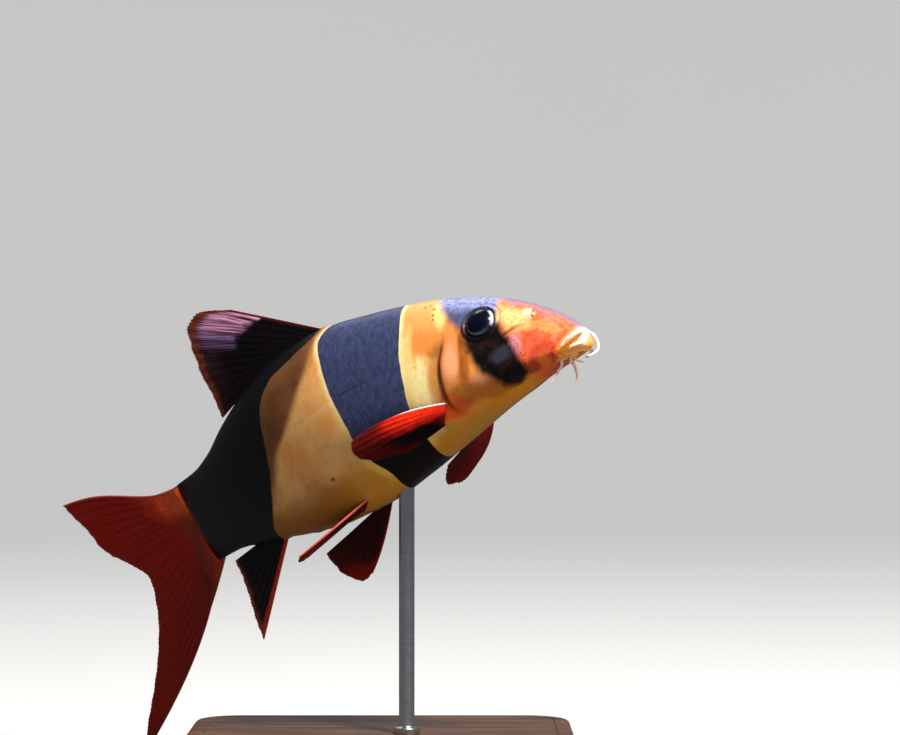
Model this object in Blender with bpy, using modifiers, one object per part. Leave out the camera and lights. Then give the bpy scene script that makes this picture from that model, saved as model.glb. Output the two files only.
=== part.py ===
"""A clown loach, life size, as a still museum model on a plain display stand.

The fish is set out along a curved spine. Three axes travel with the spine: back, towards the
tail; right, out of the fish's right flank; and up, towards its back fin. A place on the skin is
given as (place, around): place runs from 0 at the snout to 1 at the root of the tail fin, and
around is an angle in degrees, 0 on the right flank, 90 on the ridge of the back, 180 on the left
flank and -90 on the middle of the belly. The origin is the middle of the underside of the base.
"""

import math

import bmesh
import bpy
import numpy as np
from mathutils import Matrix, Vector

MM = 0.001
GAP = 0.3 * MM
MERGE = 0.01 * MM

# Size of the fish, and how it hangs in the water
BODY_LENGTH = 142.6 * MM
SNOUT_TIP = Vector((52.6, -38.0, 114.3)) * MM
HEAD_PITCH = 10.0
HEAD_YAW = 30.6
HEAD_ROLL = 9.6
# Bends in degrees for each body length: (place, bend)
SIDE_BEND = ((0.0, 72), (0.25, -5), (0.40, -22), (0.55, 25), (0.70, 48), (0.85, 49), (1.0, 32))
BACK_BEND = ((0.0, -18), (0.3, -33), (0.6, -3), (1.0, -1))
TWIST = ((0.0, -9), (0.3, -23), (0.6, -40), (1.0, -2))
SPINE_STEPS = 400

# Body sections in percent of the body length:
# (place, spine to back, spine to belly, half width, level of the widest point)
SECTIONS = (
    (0.0, 0.84, 1.05, 0.60, -0.3),
    (1.2, 2.70, 1.25, 1.95, -0.5),
    (3.0, 4.50, 1.75, 2.95, -0.8),
    (6.0, 6.60, 2.60, 3.80, -1.2),
    (10.0, 8.80, 3.85, 4.70, -1.5),
    (15.0, 11.10, 5.70, 5.60, -1.4),
    (20.0, 12.90, 7.35, 6.40, -1.0),
    (26.0, 14.70, 9.30, 7.15, -0.4),
    (33.0, 16.40, 11.25, 7.85, 0.4),
    (42.0, 18.30, 13.20, 8.15, 1.2),
    (52.0, 19.80, 14.50, 7.85, 1.8),
    (62.0, 19.20, 14.20, 6.95, 1.8),
    (72.0, 16.80, 12.50, 5.60, 1.4),
    (80.0, 13.75, 10.50, 4.40, 1.0),
    (88.0, 10.30, 8.80, 3.25, 0.6),
    (94.0, 9.00, 8.00, 2.35, 0.3),
    (100.0, 8.70, 7.85, 1.40, 0.0),
)
ROUNDNESS_ABOVE = 2.0
ROUNDNESS_BELOW = 2.15
AROUND_SIDES = 32

# Where the body is parted, as places along the spine
NAPE = 0.235
TRUNK_MIDDLE = 0.505
STALK_START = 0.755
# Rear edge of the gill cover: (around, place), the same on both sides
GILL_EDGE = (
    (-90, 0.232),
    (-62, 0.246),
    (-42, 0.262),
    (-28, 0.267),
    (-14, 0.270),
    (-2, 0.270),
    (8, 0.268),
    (19, 0.260),
    (38, 0.250),
    (60, 0.243),
    (90, 0.235),
)
# The gill edge runs at a slant, so its cut is wider lengthwise than a gap
SLANT_WIDENING = 1.3
GILL_COVER_LIFT = 0.55 * MM
GILL_COVER_RISE = 0.045
# The lift is full where the cosine of the angle is above this, and fades to the back and belly
GILL_COVER_FULL_ABOVE = 0.62

# Rings of each length of the body, closer together towards the snout
HEAD_RINGS = 20
HEAD_RING_CROWDING = 1.4
TRUNK_RINGS = 9
STALK_RINGS = 8
CLEARANCE_RINGS = 26
SNOUT_CENTRE = -0.003

# Eyes
EYE_PLACE = (0.188, 38.5)
EYE_RADIUS = 4.1 * MM
EYE_HALF_DEPTH = 2.9 * MM
EYE_SUNK = 1.4 * MM
EYE_RIM_RADIUS = 4.5 * MM
EYE_RIM_THICKNESS = 0.55 * MM
EYE_SEGMENTS = 18

# Snout: the fleshy pad that carries the front barbels, the nostrils and the fold below the eye
PAD_CENTRE = 0.013
PAD_ABOVE = 0.8 * MM
PAD_HALF_SIZE = (2.3 * MM, 2.8 * MM, 2.35 * MM)
PAD_SEGMENTS = 18
NOSTRIL_PLACE = (0.095, 52.0)
NOSTRIL_RIM_RADIUS = 1.05 * MM
NOSTRIL_RIM_THICKNESS = 0.32 * MM
# Along the body, round it and into it
NOSTRIL_PIT = (0.6 * MM, 0.8 * MM, 0.95 * MM)
NOSTRIL_SEGMENTS = 10
FOLD_BELOW_EYE = ((0.122, 32), (0.136, 26), (0.150, 19), (0.168, 13))
FOLD_RADII = (0.65 * MM, 0.35 * MM)

# Mouth, from its right corner to its middle: (place, around)
UPPER_LIP = ((0.049, -62), (0.037, -66), (0.024, -71), (0.015, -79), (0.012, -90))
MOUTH_LINE = ((0.055, -66), (0.043, -71), (0.031, -77), (0.024, -83), (0.022, -90))
LOWER_LIP = ((0.052, -72), (0.044, -76), (0.036, -81), (0.033, -90))
# Radius at the middle and at the corners
UPPER_LIP_RADII = (0.75 * MM, 0.45 * MM)
LOWER_LIP_RADII = (0.65 * MM, 0.4 * MM)
MOUTH_LINE_RADII = (0.35 * MM, 0.25 * MM)
LIP_SUNK = 0.2 * MM

# Fins: thickness at a ray and between rays, and where the rays fork on their way to the margin
RAY_THICKNESS = 1.05 * MM
MEMBRANE_THICKNESS = 0.5 * MM
MARGIN_THINNING = 0.55
RAY_FORK = 0.55
MARGIN_NOTCH = 0.035
COLUMNS_PER_RAY = 4
FIN_ROOT_DEPTH = 2.5 * MM
# Rays of each fin, and rows of faces from root to margin
DORSAL_GRID = (11, 8)
ANAL_GRID = (8, 8)
PECTORAL_GRID = (12, 6)
PELVIC_GRID = (8, 6)
TAIL_LOBE_GRID = (9, 9)

# Tail fin, in the plane of the fish's back and belly behind the end of the stalk
TAIL_CURL = 0.004 / MM
TAIL_CURL_CHANGE = 0.001 / MM
TAIL_CURL_SPAN = 6.0 * MM
TAIL_ROOT_THICKNESS = 2.2 * MM
TAIL_ROOT_LENGTH = 0.2
# How far the outermost rays bow upwards, as a half wave and a whole wave along their length
TAIL_UPPER_BOW = (-0.9 * MM, -1.35 * MM)
TAIL_LOWER_BOW = (-1.2 * MM, 0.0)

# Stand
BASE_SIZE = (100.0 * MM, 80.0 * MM, 14.0 * MM)
BASE_CORNER = 12.0 * MM
BASE_EDGE = 1.5 * MM
ROD_RADIUS = 2.0 * MM
ROD_PLACE = 0.475
ROD_FOOT_DEPTH = 0.3 * MM
ROD_INTO_BELLY = 3.0 * MM


def smooth_curve(points):
    """A smooth function through (x, y) points that doesn't overshoot between them."""
    xs = [float(x) for x, _ in points]
    ys = [float(y) for _, y in points]
    rise = [(ys[i + 1] - ys[i]) / (xs[i + 1] - xs[i]) for i in range(len(xs) - 1)]
    slope = [rise[0]]
    for before, after in zip(rise, rise[1:]):
        slope.append(0.0 if before * after <= 0 else 2 * before * after / (before + after))
    slope.append(rise[-1])

    def value(x):
        i = min(max(int(np.searchsorted(xs, x)) - 1, 0), len(rise) - 1)
        span = xs[i + 1] - xs[i]
        t = min(max((x - xs[i]) / span, 0.0), 1.0)
        start = ys[i] * (1 + 2 * t) * (1 - t) ** 2 + slope[i] * span * t * (1 - t) ** 2
        end = ys[i + 1] * t * t * (3 - 2 * t) + slope[i + 1] * span * t * t * (t - 1)
        return start + end

    return value


def spine_frames():
    """Points of the spine, with the back, right and up axes at each."""
    side_bend = smooth_curve(SIDE_BEND)
    back_bend = smooth_curve(BACK_BEND)
    twist = smooth_curve(TWIST)
    pitch, yaw, roll = (math.radians(a) for a in (HEAD_PITCH, HEAD_YAW, HEAD_ROLL))
    back = Vector((-math.cos(yaw) * math.cos(pitch), math.sin(yaw) * math.cos(pitch), -math.sin(pitch)))
    level_up = Vector((-math.cos(yaw) * math.sin(pitch), math.sin(yaw) * math.sin(pitch), math.cos(pitch)))
    up = level_up * math.cos(roll) - level_up.cross(back) * math.sin(roll)
    step = 1.0 / SPINE_STEPS
    point = SNOUT_TIP.copy()
    frames = []
    for i in range(SPINE_STEPS + 1):
        place = i * step
        right = up.cross(back)
        frames.append((point.copy(), back.copy(), right.copy(), up.copy()))
        side, rise, turn = (math.radians(f(place)) * step for f in (side_bend, back_bend, twist))
        point = point + back * BODY_LENGTH * step
        new_back = (back - right * side + up * rise).normalized()
        new_up = up - back * rise - right * turn
        up = (new_up - new_back * new_up.dot(new_back)).normalized()
        back = new_back
    return frames


FRAMES = spine_frames()
BACK_HEIGHT, BELLY_DEPTH, HALF_WIDTH, WIDEST_LEVEL = (
    smooth_curve([(row[0] / 100, row[column] / 100 * BODY_LENGTH) for row in SECTIONS])
    for column in range(1, 5)
)
GILL_EDGE_PLACE = smooth_curve(GILL_EDGE)


def frame_at(place):
    """Spine point and axes at a place, carried on straight past both ends."""
    held = min(max(place, 0.0), 1.0)
    position = held * SPINE_STEPS
    i = min(int(position), SPINE_STEPS - 1)
    share = position - i
    point, back, right, up = (a.lerp(b, share) for a, b in zip(FRAMES[i], FRAMES[i + 1]))
    return point + back * (place - held) * BODY_LENGTH, back, right, up


def section_point(place, around):
    """A point of the smooth skin."""
    held = min(max(place, 0.0), 1.0)
    point, _, right, up = frame_at(place)
    across = math.cos(around)
    height = math.sin(around)
    power = 2 / (ROUNDNESS_ABOVE if height >= 0 else ROUNDNESS_BELOW)
    level = WIDEST_LEVEL(held)
    reach = BACK_HEIGHT(held) - level if height >= 0 else BELLY_DEPTH(held) + level
    sideways = HALF_WIDTH(held) * math.copysign(abs(across) ** power, across)
    upward = level + reach * math.copysign(abs(height) ** power, height)
    return point + right * sideways + up * upward


def skin_normal(place, around):
    """The outward direction of the skin."""
    nudge = 0.004
    lengthwise = section_point(place + nudge, around) - section_point(place - nudge, around)
    girthwise = section_point(place, around + nudge) - section_point(place, around - nudge)
    return lengthwise.cross(girthwise).normalized() * -1.0


def skin(place, around_degrees, lift=0.0):
    """A point on the skin, or lifted off it."""
    around = math.radians(around_degrees)
    return section_point(place, around) + skin_normal(place, around) * lift


def collection(name):
    made = bpy.data.collections.new(name)
    bpy.context.scene.collection.children.link(made)
    return made


def clear_scene():
    for obj in list(bpy.data.objects):
        bpy.data.objects.remove(obj, do_unlink=True)
    for old in list(bpy.data.collections):
        bpy.data.collections.remove(old)


def material(name, colour, roughness, metallic=0.0):
    made = bpy.data.materials.new(name)
    made.use_nodes = True
    shader = made.node_tree.nodes["Principled BSDF"]
    shader.inputs["Base Color"].default_value = (*colour, 1.0)
    shader.inputs["Roughness"].default_value = roughness
    shader.inputs["Metallic"].default_value = metallic
    return made


def finish_with(obj, finish):
    obj.data.materials.clear()
    obj.data.materials.append(finish)


def mesh_object(name, bm, where):
    """A mesh object from a bmesh, its faces turned outwards."""
    bmesh.ops.recalc_face_normals(bm, faces=bm.faces)
    if all(edge.is_manifold for edge in bm.edges) and bm.calc_volume(signed=True) < 0:
        bmesh.ops.reverse_faces(bm, faces=bm.faces)
    mesh = bpy.data.meshes.new(name)
    bm.to_mesh(mesh)
    bm.free()
    obj = bpy.data.objects.new(name, mesh)
    where.objects.link(obj)
    return obj


def hide_cutter(obj):
    obj.hide_render = True
    obj.display_type = "WIRE"
    return obj


def evaluated_mesh(obj):
    graph = bpy.context.evaluated_depsgraph_get()
    return bpy.data.meshes.new_from_object(obj.evaluated_get(graph), depsgraph=graph)


def apply_modifiers(obj):
    mesh = evaluated_mesh(obj)
    old = obj.data
    obj.modifiers.clear()
    obj.data = mesh
    bpy.data.meshes.remove(old)
    return obj


def keep_largest(obj):
    """Keeps the closed surface with the largest box."""
    bm = bmesh.new()
    bm.from_mesh(obj.data)
    left = set(bm.verts)
    groups = []
    while left:
        group = set()
        waiting = [left.pop()]
        while waiting:
            vert = waiting.pop()
            group.add(vert)
            for edge in vert.link_edges:
                other = edge.other_vert(vert)
                if other in left:
                    left.discard(other)
                    waiting.append(other)
        groups.append(group)

    def size(group):
        xs, ys, zs = zip(*(vert.co for vert in group))
        return math.dist((min(xs), min(ys), min(zs)), (max(xs), max(ys), max(zs)))

    groups.sort(key=size)
    scraps = [vert for group in groups[:-1] for vert in group]
    bmesh.ops.delete(bm, geom=scraps, context="VERTS")
    bm.to_mesh(obj.data)
    bm.free()


def boolean(obj, operation, others, solver="EXACT"):
    """One Boolean of obj with a list of objects, applied; the others are then removed."""
    group = bpy.data.collections.new(f"{obj.name}_{operation.lower()}")
    bpy.context.scene.collection.children.link(group)
    for other in others:
        for home in list(other.users_collection):
            home.objects.unlink(other)
        group.objects.link(other)
    modifier = obj.modifiers.new(operation.title(), "BOOLEAN")
    modifier.operation = operation
    modifier.operand_type = "COLLECTION"
    modifier.collection = group
    modifier.solver = solver
    apply_modifiers(obj)
    for other in others:
        bpy.data.objects.remove(other, do_unlink=True)
    bpy.data.collections.remove(group)
    keep_largest(obj)
    return obj


def gill_line(around):
    """Place of the gill cover's rear edge, where the head ends, for an angle round the body."""
    above_side = math.degrees(math.atan2(math.sin(around), abs(math.cos(around))))
    return GILL_EDGE_PLACE(above_side)


def level_cut(place):
    return lambda around: place


def no_outset(place, around):
    return 0.0


def gill_cover_lift(place, around):
    """How far the gill cover stands proud of the body, most at its rear edge on the sides."""
    share = min(max((place - gill_line(around)) / GILL_COVER_RISE + 1.0, 0.0), 1.0)
    side = min(1.0, abs(math.cos(around)) / GILL_COVER_FULL_ABOVE)
    return GILL_COVER_LIFT * share * share * (3 - 2 * share) * side * side


def body_length_piece(name, start, end, start_middle, end_middle, rings, where, outset=no_outset):
    """A closed length of the body between two cuts, from a ball whose rows become its rings.

    start and end give the cut's place for an angle, and outset how far the skin is lifted; the
    middles are the places of the cap centres.
    """
    bm = bmesh.new()
    bmesh.ops.create_uvsphere(bm, u_segments=AROUND_SIDES, v_segments=len(rings) + 1, radius=1.0)
    for vert in bm.verts:
        row = round(math.acos(max(-1.0, min(1.0, vert.co.z))) / math.pi * (len(rings) + 1)) - 1
        if row < 0:
            vert.co = frame_at(start_middle)[0]
        elif row >= len(rings):
            vert.co = frame_at(end_middle)[0]
        else:
            around = math.atan2(vert.co.y, vert.co.x)
            place = start(around) + (end(around) - start(around)) * rings[row]
            lift = outset(place, around)
            vert.co = section_point(place, around) + skin_normal(place, around) * lift
    return mesh_object(name, bm, where)


def even_rings(count, power=1.0):
    return [(i / (count - 1)) ** power for i in range(count)]


def tube(name, points, radii, where, sides_resolution=1, closed=False, steps=3):
    """A round tube through points, its radius running smoothly through radii."""
    count = len(points)
    spots = []
    for i in range(count if closed else count - 1):
        p = [points[(i + k) % count if closed else min(max(i + k, 0), count - 1)] for k in (-1, 0, 1, 2)]
        r = [radii[(i + k) % count if closed else min(i + k, count - 1)] for k in (0, 1)]
        for step in range(steps):
            t = step / steps
            here = (
                p[1] * 2
                + (p[2] - p[0]) * t
                + (p[0] * 2 - p[1] * 5 + p[2] * 4 - p[3]) * t * t
                + (p[1] * 3 - p[0] - p[2] * 3 + p[3]) * t * t * t
            ) * 0.5
            spots.append((here, r[0] + (r[1] - r[0]) * t))
    if not closed:
        spots.append((points[-1], radii[-1]))
    data = bpy.data.curves.new(name, "CURVE")
    data.dimensions = "3D"
    data.bevel_depth = 1.0
    data.bevel_resolution = sides_resolution
    data.use_fill_caps = True
    spline = data.splines.new("POLY")
    spline.points.add(len(spots) - 1)
    spline.use_cyclic_u = closed
    for point, (here, radius) in zip(spline.points, spots):
        point.co = (*here, 1.0)
        point.radius = radius
    curve = bpy.data.objects.new(f"{name}_path", data)
    where.objects.link(curve)
    mesh = evaluated_mesh(curve)
    bpy.data.objects.remove(curve, do_unlink=True)
    bm = bmesh.new()
    bm.from_mesh(mesh)
    bpy.data.meshes.remove(mesh)
    bmesh.ops.remove_doubles(bm, verts=bm.verts, dist=MERGE)
    return mesh_object(name, bm, where)


def ring_on_skin(name, place, around_degrees, radius, thickness, where, points=16):
    """A closed roll that follows the skin round a spot."""
    around = math.radians(around_degrees)
    nudge = 0.01
    girth = (section_point(place, around + nudge) - section_point(place, around)).length / nudge
    spots = []
    for i in range(points):
        angle = 2 * math.pi * i / points
        here = place + radius * math.cos(angle) / BODY_LENGTH
        turned = around + radius * math.sin(angle) / girth
        spots.append(section_point(here, turned))
    return tube(name, spots, [thickness] * points, where, closed=True, steps=1)


def ball(name, centre, axes, half_sizes, segments, where):
    """An ellipsoid along three axes."""
    bm = bmesh.new()
    bmesh.ops.create_uvsphere(bm, u_segments=segments, v_segments=segments * 3 // 5, radius=1.0)
    for vert in bm.verts:
        reach = [axis * half * share for axis, half, share in zip(axes, half_sizes, vert.co)]
        vert.co = centre + reach[0] + reach[1] + reach[2]
    return mesh_object(name, bm, where)


def skin_axes(place, around_degrees):
    """Axes at a spot of the skin: along the body, round it and out of it."""
    around = math.radians(around_degrees)
    out = skin_normal(place, around)
    along = section_point(place + 0.01, around) - section_point(place - 0.01, around)
    along = (along - out * along.dot(out)).normalized()
    return along, out.cross(along), out


def on_side(side, around_degrees):
    """An angle of the right side, or the same on the left side."""
    return around_degrees if side == "right" else 180.0 - around_degrees


def eyeball(name, side, outset, where):
    place = EYE_PLACE[0]
    above = on_side(side, EYE_PLACE[1])
    centre = skin(place, above, -EYE_SUNK)
    half_sizes = (EYE_RADIUS + outset, EYE_RADIUS + outset, EYE_HALF_DEPTH + outset)
    return ball(name, centre, skin_axes(place, above), half_sizes, EYE_SEGMENTS, where)


def arc_across(half):
    """A path across the underside of the snout from its right half, which ends in the middle."""
    return list(half) + [(place, -180 - around) for place, around in reversed(half[:-1])]


def roll_on_skin(name, path, radii, sunk, outset, where):
    """A roll along the skin; radii are those at its middle and at its two ends."""
    count = len(path)
    spots = [skin(place, around, -sunk) for place, around in path]
    middle, corner = radii
    thick = []
    for i in range(count):
        off_middle = abs(2 * i / (count - 1) - 1)
        thick.append(middle + (corner - middle) * off_middle**2 + outset)
    return tube(name, spots, thick, where)


def snout_flesh(outset, where):
    """The pad at the tip of the snout, and both lips."""
    centre, back, right, up = frame_at(PAD_CENTRE)
    half_sizes = [half + outset for half in PAD_HALF_SIZE]
    return [
        ball("snout_pad", centre + up * PAD_ABOVE, (back, right, up), half_sizes, PAD_SEGMENTS, where),
        roll_on_skin("upper_lip", arc_across(UPPER_LIP), UPPER_LIP_RADII, LIP_SUNK, outset, where),
        roll_on_skin("lower_lip", arc_across(LOWER_LIP), LOWER_LIP_RADII, LIP_SUNK, outset, where),
    ]


def ridge(k, s, rays):
    """1 on a ray and 0 between rays; each ray but the first forks in its outer part."""
    position = k * (rays - 1)
    off_ray = abs(position - round(position))
    quarter = 1.0 / COLUMNS_PER_RAY
    crest = quarter if s > RAY_FORK and position > quarter else 0.0
    return max(0.0, 1.0 - abs(off_ray - crest) / quarter)


def fin_sheet(name, sheet_point, grid, thickness_at, where):
    """A fin as a grid of rays and rows with a thickness of its own at every point.

    sheet_point(k, s) gives the middle surface, k from the first ray to the last, s from root to tip.
    """
    rays, rows = grid
    bm = bmesh.new()
    bmesh.ops.create_grid(bm, x_segments=COLUMNS_PER_RAY * (rays - 1), y_segments=rows, size=0.5)
    shares = [(vert.co.x + 0.5, vert.co.y + 0.5) for vert in bm.verts]
    for vert, (k, s) in zip(bm.verts, shares):
        notch = MARGIN_NOTCH * (1.0 - ridge(k, s, rays)) * s * s
        vert.co = sheet_point(k, s * (1.0 - notch))
    bmesh.ops.triangulate(bm, faces=bm.faces, quad_method="FIXED")
    obj = mesh_object(name, bm, where)
    group = obj.vertex_groups.new(name="thickness")
    thickest = max(thickness_at(k, s) for k, s in shares)
    for index, (k, s) in enumerate(shares):
        group.add([index], thickness_at(k, s) / thickest, "REPLACE")
    solid = obj.modifiers.new("Thickness", "SOLIDIFY")
    solid.thickness = thickest
    solid.offset = 0.0
    solid.vertex_group = "thickness"
    solid.use_even_offset = False
    solid.use_rim = True
    return apply_modifiers(obj)


def ray_thickness(rays):
    """Thickness of a fin that is thick at each ray and thin between, and thinner at its margin."""

    def thickness(k, s):
        raised = (RAY_THICKNESS - MEMBRANE_THICKNESS) * ridge(k, s, rays)
        return MEMBRANE_THICKNESS + raised * (1.0 - MARGIN_THINNING * s)

    return thickness


def rayed_fin(name, root_start, root_end, key_rays, grid, where, bow=0.0):
    """A fin whose rays rise from a line on the skin between two (place, around) spots.

    key_rays holds (share of the root line, (back, right, up), length in mm) of some rays. The tip
    of the first ray bends over towards the last ray by bow, and those after it less and less.
    """
    parts = [
        smooth_curve([(share, direction[axis]) for share, direction, _ in key_rays]) for axis in range(3)
    ]
    length_at = smooth_curve([(share, length) for share, _, length in key_rays])

    def sheet_point(k, s):
        place = root_start[0] + (root_end[0] - root_start[0]) * k
        around = root_start[1] + (root_end[1] - root_start[1]) * k
        _, back, right, up = frame_at(place)
        heading = (back * parts[0](k) + right * parts[1](k) + up * parts[2](k)).normalized()
        change = [part(1.0) - part(0.0) for part in parts]
        aside = back * change[0] + right * change[1] + up * change[2]
        aside = (aside - heading * aside.dot(heading)).normalized()
        reach = length_at(k) * MM + FIN_ROOT_DEPTH
        bent = aside * (bow * (1.0 - k) ** 3 * max(s, 0.0) ** 3)
        return skin(place, around) + heading * (reach * s - FIN_ROOT_DEPTH) + bent

    return fin_sheet(name, sheet_point, grid, ray_thickness(grid[0]), where)


def tail_fin_point(behind, above):
    """A point of the curled tail fin, behind the end of the stalk and above the spine."""
    end, back, right, up = frame_at(1.0)
    curl = TAIL_CURL - TAIL_CURL_CHANGE * math.tanh(above / TAIL_CURL_SPAN)
    return end + back * behind + up * above + right * curl * (behind * behind + above * above)


def tail_lobe(name, root_levels, tips, where):
    """A lobe of the tail fin: rays from two root levels to tips, (share, behind, above) in mm."""
    behind_at = smooth_curve([(share, behind * MM) for share, behind, _ in tips])
    above_at = smooth_curve([(share, above * MM) for share, _, above in tips])
    ridged = ray_thickness(TAIL_LOBE_GRID[0])

    is_upper = root_levels[0] > 0
    once, twice = TAIL_UPPER_BOW if is_upper else TAIL_LOWER_BOW

    def sheet_point(k, s):
        root = (root_levels[0] + (root_levels[1] - root_levels[0]) * k) * MM
        behind = GAP + (behind_at(k) - GAP) * s
        outer = (1.0 - k if is_upper else k) ** 3
        bow = once * math.sin(math.pi * s) + twice * math.sin(2 * math.pi * s)
        return tail_fin_point(behind, root + (above_at(k) - root) * s + outer * bow)

    def thickness(k, s):
        root_share = max(0.0, 1.0 - s / TAIL_ROOT_LENGTH)
        return ridged(k, s) + (TAIL_ROOT_THICKNESS - RAY_THICKNESS) * root_share

    return fin_sheet(name, sheet_point, TAIL_LOBE_GRID, thickness, where)


def angled(degrees):
    """Direction of a ray of the back or belly fin, above the line of the spine."""
    return (math.cos(math.radians(degrees)), 0.0, math.sin(math.radians(degrees)))


# Rays of each fin: (share of the root line, direction, length in mm)
DORSAL_RAYS = (
    (0.0, angled(34), 31.0),
    (0.12, angled(33), 38.5),
    (0.22, angled(29), 40.0),
    (0.35, angled(25), 36.0),
    (0.55, angled(17), 29.5),
    (0.8, angled(2.5), 21.5),
    (1.0, angled(-10), 16.5),
)
ANAL_RAYS = (
    (0.0, angled(-38), 33.5),
    (0.3, angled(-33), 27.0),
    (0.55, angled(-25), 20.0),
    (0.8, angled(-15), 15.0),
    (1.0, angled(-4), 12.0),
)
# Upper and lower lobes of the tail fin: (share from the first ray to the last, behind, above)
UPPER_TIPS = (
    (0.0, 44.2, 24.8),
    (0.3, 42.8, 16.8),
    (0.6, 40.8, 7.6),
    (0.85, 35.6, 2.2),
    (1.0, 29.6, -5.5),
)
LOWER_TIPS = (
    (0.0, 29.6, -6.1),
    (0.15, 31.3, -12.9),
    (0.38, 35.9, -23.5),
    (0.62, 41.7, -33.9),
    (0.88, 46.3, -43.2),
    (1.0, 45.0, -45.3),
)
UPPER_ROOT_LEVELS = (11.9, -0.3)
LOWER_ROOT_LEVELS = (-0.9, -10.7)
PECTORAL_RAYS = {
    "right": (
        (0.0, (0.77, 0.62, 0.05), 23.0),
        (0.12, (0.78, 0.60, -0.03), 25.5),
        (0.25, (0.80, 0.54, -0.13), 26.5),
        (0.5, (0.85, 0.38, -0.25), 23.0),
        (1.0, (0.93, 0.16, -0.28), 13.0),
    ),
    "left": (
        (0.0, (0.60, -0.62, -0.37), 25.5),
        (0.3, (0.76, -0.48, -0.40), 27.5),
        (0.6, (0.86, -0.36, -0.36), 27.5),
        (1.0, (0.93, -0.18, -0.30), 18.0),
    ),
}
PELVIC_RAYS = {
    "right": (
        (0.0, (0.82, 0.47, -0.33), 23.5),
        (0.2, (0.85, 0.39, -0.32), 24.0),
        (0.6, (0.92, 0.16, -0.24), 20.5),
        (1.0, (0.96, 0.02, -0.12), 16.0),
    ),
    "left": (
        (0.0, (0.72, -0.26, -0.68), 24.0),
        (0.3, (0.78, -0.17, -0.61), 26.0),
        (0.6, (0.86, -0.08, -0.44), 25.0),
        (1.0, (0.97, 0.00, -0.20), 22.0),
    ),
}
# How far the tip of each paired fin's first ray bends over towards its last ray, in mm
PECTORAL_BOW = {"right": 6.5, "left": 6.0}
PELVIC_BOW = {"right": 2.0, "left": 2.0}
# Roots of the fins: the (place, around) of the first and last ray, paired fins on the right side
DORSAL_ROOT = ((0.52, 90), (0.685, 90))
ANAL_ROOT = ((0.79, -90), (0.875, -90))
PECTORAL_ROOT = ((0.274, -27), (0.293, -47))
PELVIC_ROOT = ((0.535, -62), (0.562, -74))

# Barbels: points (place, around, lift in mm) from root to tip, and the thickness at the root in mm
BARBELS = {
    "rostral_outer_right": (
        ((0.009, 48, -0.4), (0.013, 31, 1.4), (0.024, 14, 1.4), (0.033, 7, 1.1), (0.040, -2, 0.9)),
        1.3,
    ),
    "rostral_outer_left": (
        ((0.009, 112, -0.4), (0.006, 142, 0.9), (0.006, 178, 1.5), (0.007, 208, 1.6), (0.010, 240, 1.5),
         (0.016, 260, 1.4)),
        1.3,
    ),
    "rostral_inner_right": (
        ((0.008, 8, -0.4), (0.011, -3, 1.1), (0.016, -5, 1.2), (0.023, -7, 1.2), (0.028, -15, 1.0)),
        1.1,
    ),
    "rostral_inner_left": (
        ((0.015, 186, -0.4), (0.019, 192, 1.0), (0.027, 198, 1.1), (0.035, 204, 1.0)),
        1.1,
    ),
    "maxillary_right": (
        ((0.056, -78, -0.5), (0.062, -85, 0.9), (0.069, -85, 1.5), (0.077, -80, 2.8), (0.088, -74, 4.3)),
        0.9,
    ),
    "maxillary_left": (
        ((0.051, -112, -0.5), (0.052, -119, 1.3), (0.054, -120, 3.0), (0.057, -117, 4.4), (0.063, -111, 5.5)),
        0.9,
    ),
    "mandibular_right": (
        ((0.040, -84, -0.5), (0.042, -83, 1.0), (0.046, -80, 2.0)),
        0.7,
    ),
    "mandibular_left": (
        ((0.040, -96, -0.5), (0.037, -99, 1.0), (0.033, -106, 1.6), (0.029, -114, 2.2)),
        0.7,
    ),
}
BARBEL_TAPER = 0.5


def head_piece(name, where, outset=gill_cover_lift):
    rings = even_rings(HEAD_RINGS, HEAD_RING_CROWDING)
    return body_length_piece(name, level_cut(0.0), gill_line, SNOUT_CENTRE, NAPE, rings, where, outset)


def build_body(where):
    """Head, two lengths of trunk and the tail stalk, parted by thin cuts."""
    clear = GAP / BODY_LENGTH
    behind_gills = SLANT_WIDENING * clear
    head = head_piece("head", where)
    trunk_front = body_length_piece(
        "trunk_front",
        lambda around: gill_line(around) + behind_gills,
        level_cut(TRUNK_MIDDLE),
        NAPE + behind_gills,
        TRUNK_MIDDLE,
        even_rings(TRUNK_RINGS),
        where,
    )
    trunk_rear = body_length_piece(
        "trunk_rear",
        level_cut(TRUNK_MIDDLE + clear),
        level_cut(STALK_START),
        TRUNK_MIDDLE + clear,
        STALK_START,
        even_rings(TRUNK_RINGS),
        where,
    )
    tail_stalk = body_length_piece(
        "tail_stalk",
        level_cut(STALK_START + clear),
        level_cut(1.0),
        STALK_START + clear,
        1.0,
        even_rings(STALK_RINGS),
        where,
    )
    finish_with(head, material("skin_head", (0.76, 0.30, 0.12), 0.42))
    finish_with(trunk_front, material("skin_trunk", (0.12, 0.16, 0.24), 0.40))
    finish_with(trunk_rear, material("skin_flank", (0.70, 0.34, 0.08), 0.42))
    finish_with(tail_stalk, material("skin_stalk", (0.03, 0.02, 0.02), 0.45))
    return head


def body_clearance(where):
    """The whole body, a gap larger all round, to cut the pieces that meet it."""
    places = [NAPE * share for share in even_rings(HEAD_RINGS, HEAD_RING_CROWDING)]
    places += [NAPE + (1.0 - NAPE) * (i + 1) / CLEARANCE_RINGS for i in range(CLEARANCE_RINGS)]
    end_clear = 1.0 + GAP / BODY_LENGTH
    return hide_cutter(
        body_length_piece(
            "body_clearance",
            level_cut(0.0),
            level_cut(1.0),
            2 * SNOUT_CENTRE,
            end_clear,
            places,
            where,
            lambda place, around: GAP,
        )
    )


def gill_cover_clearance(where):
    return hide_cutter(
        head_piece("gill_cover_clearance", where, lambda place, around: gill_cover_lift(place, around) + GAP)
    )


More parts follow.
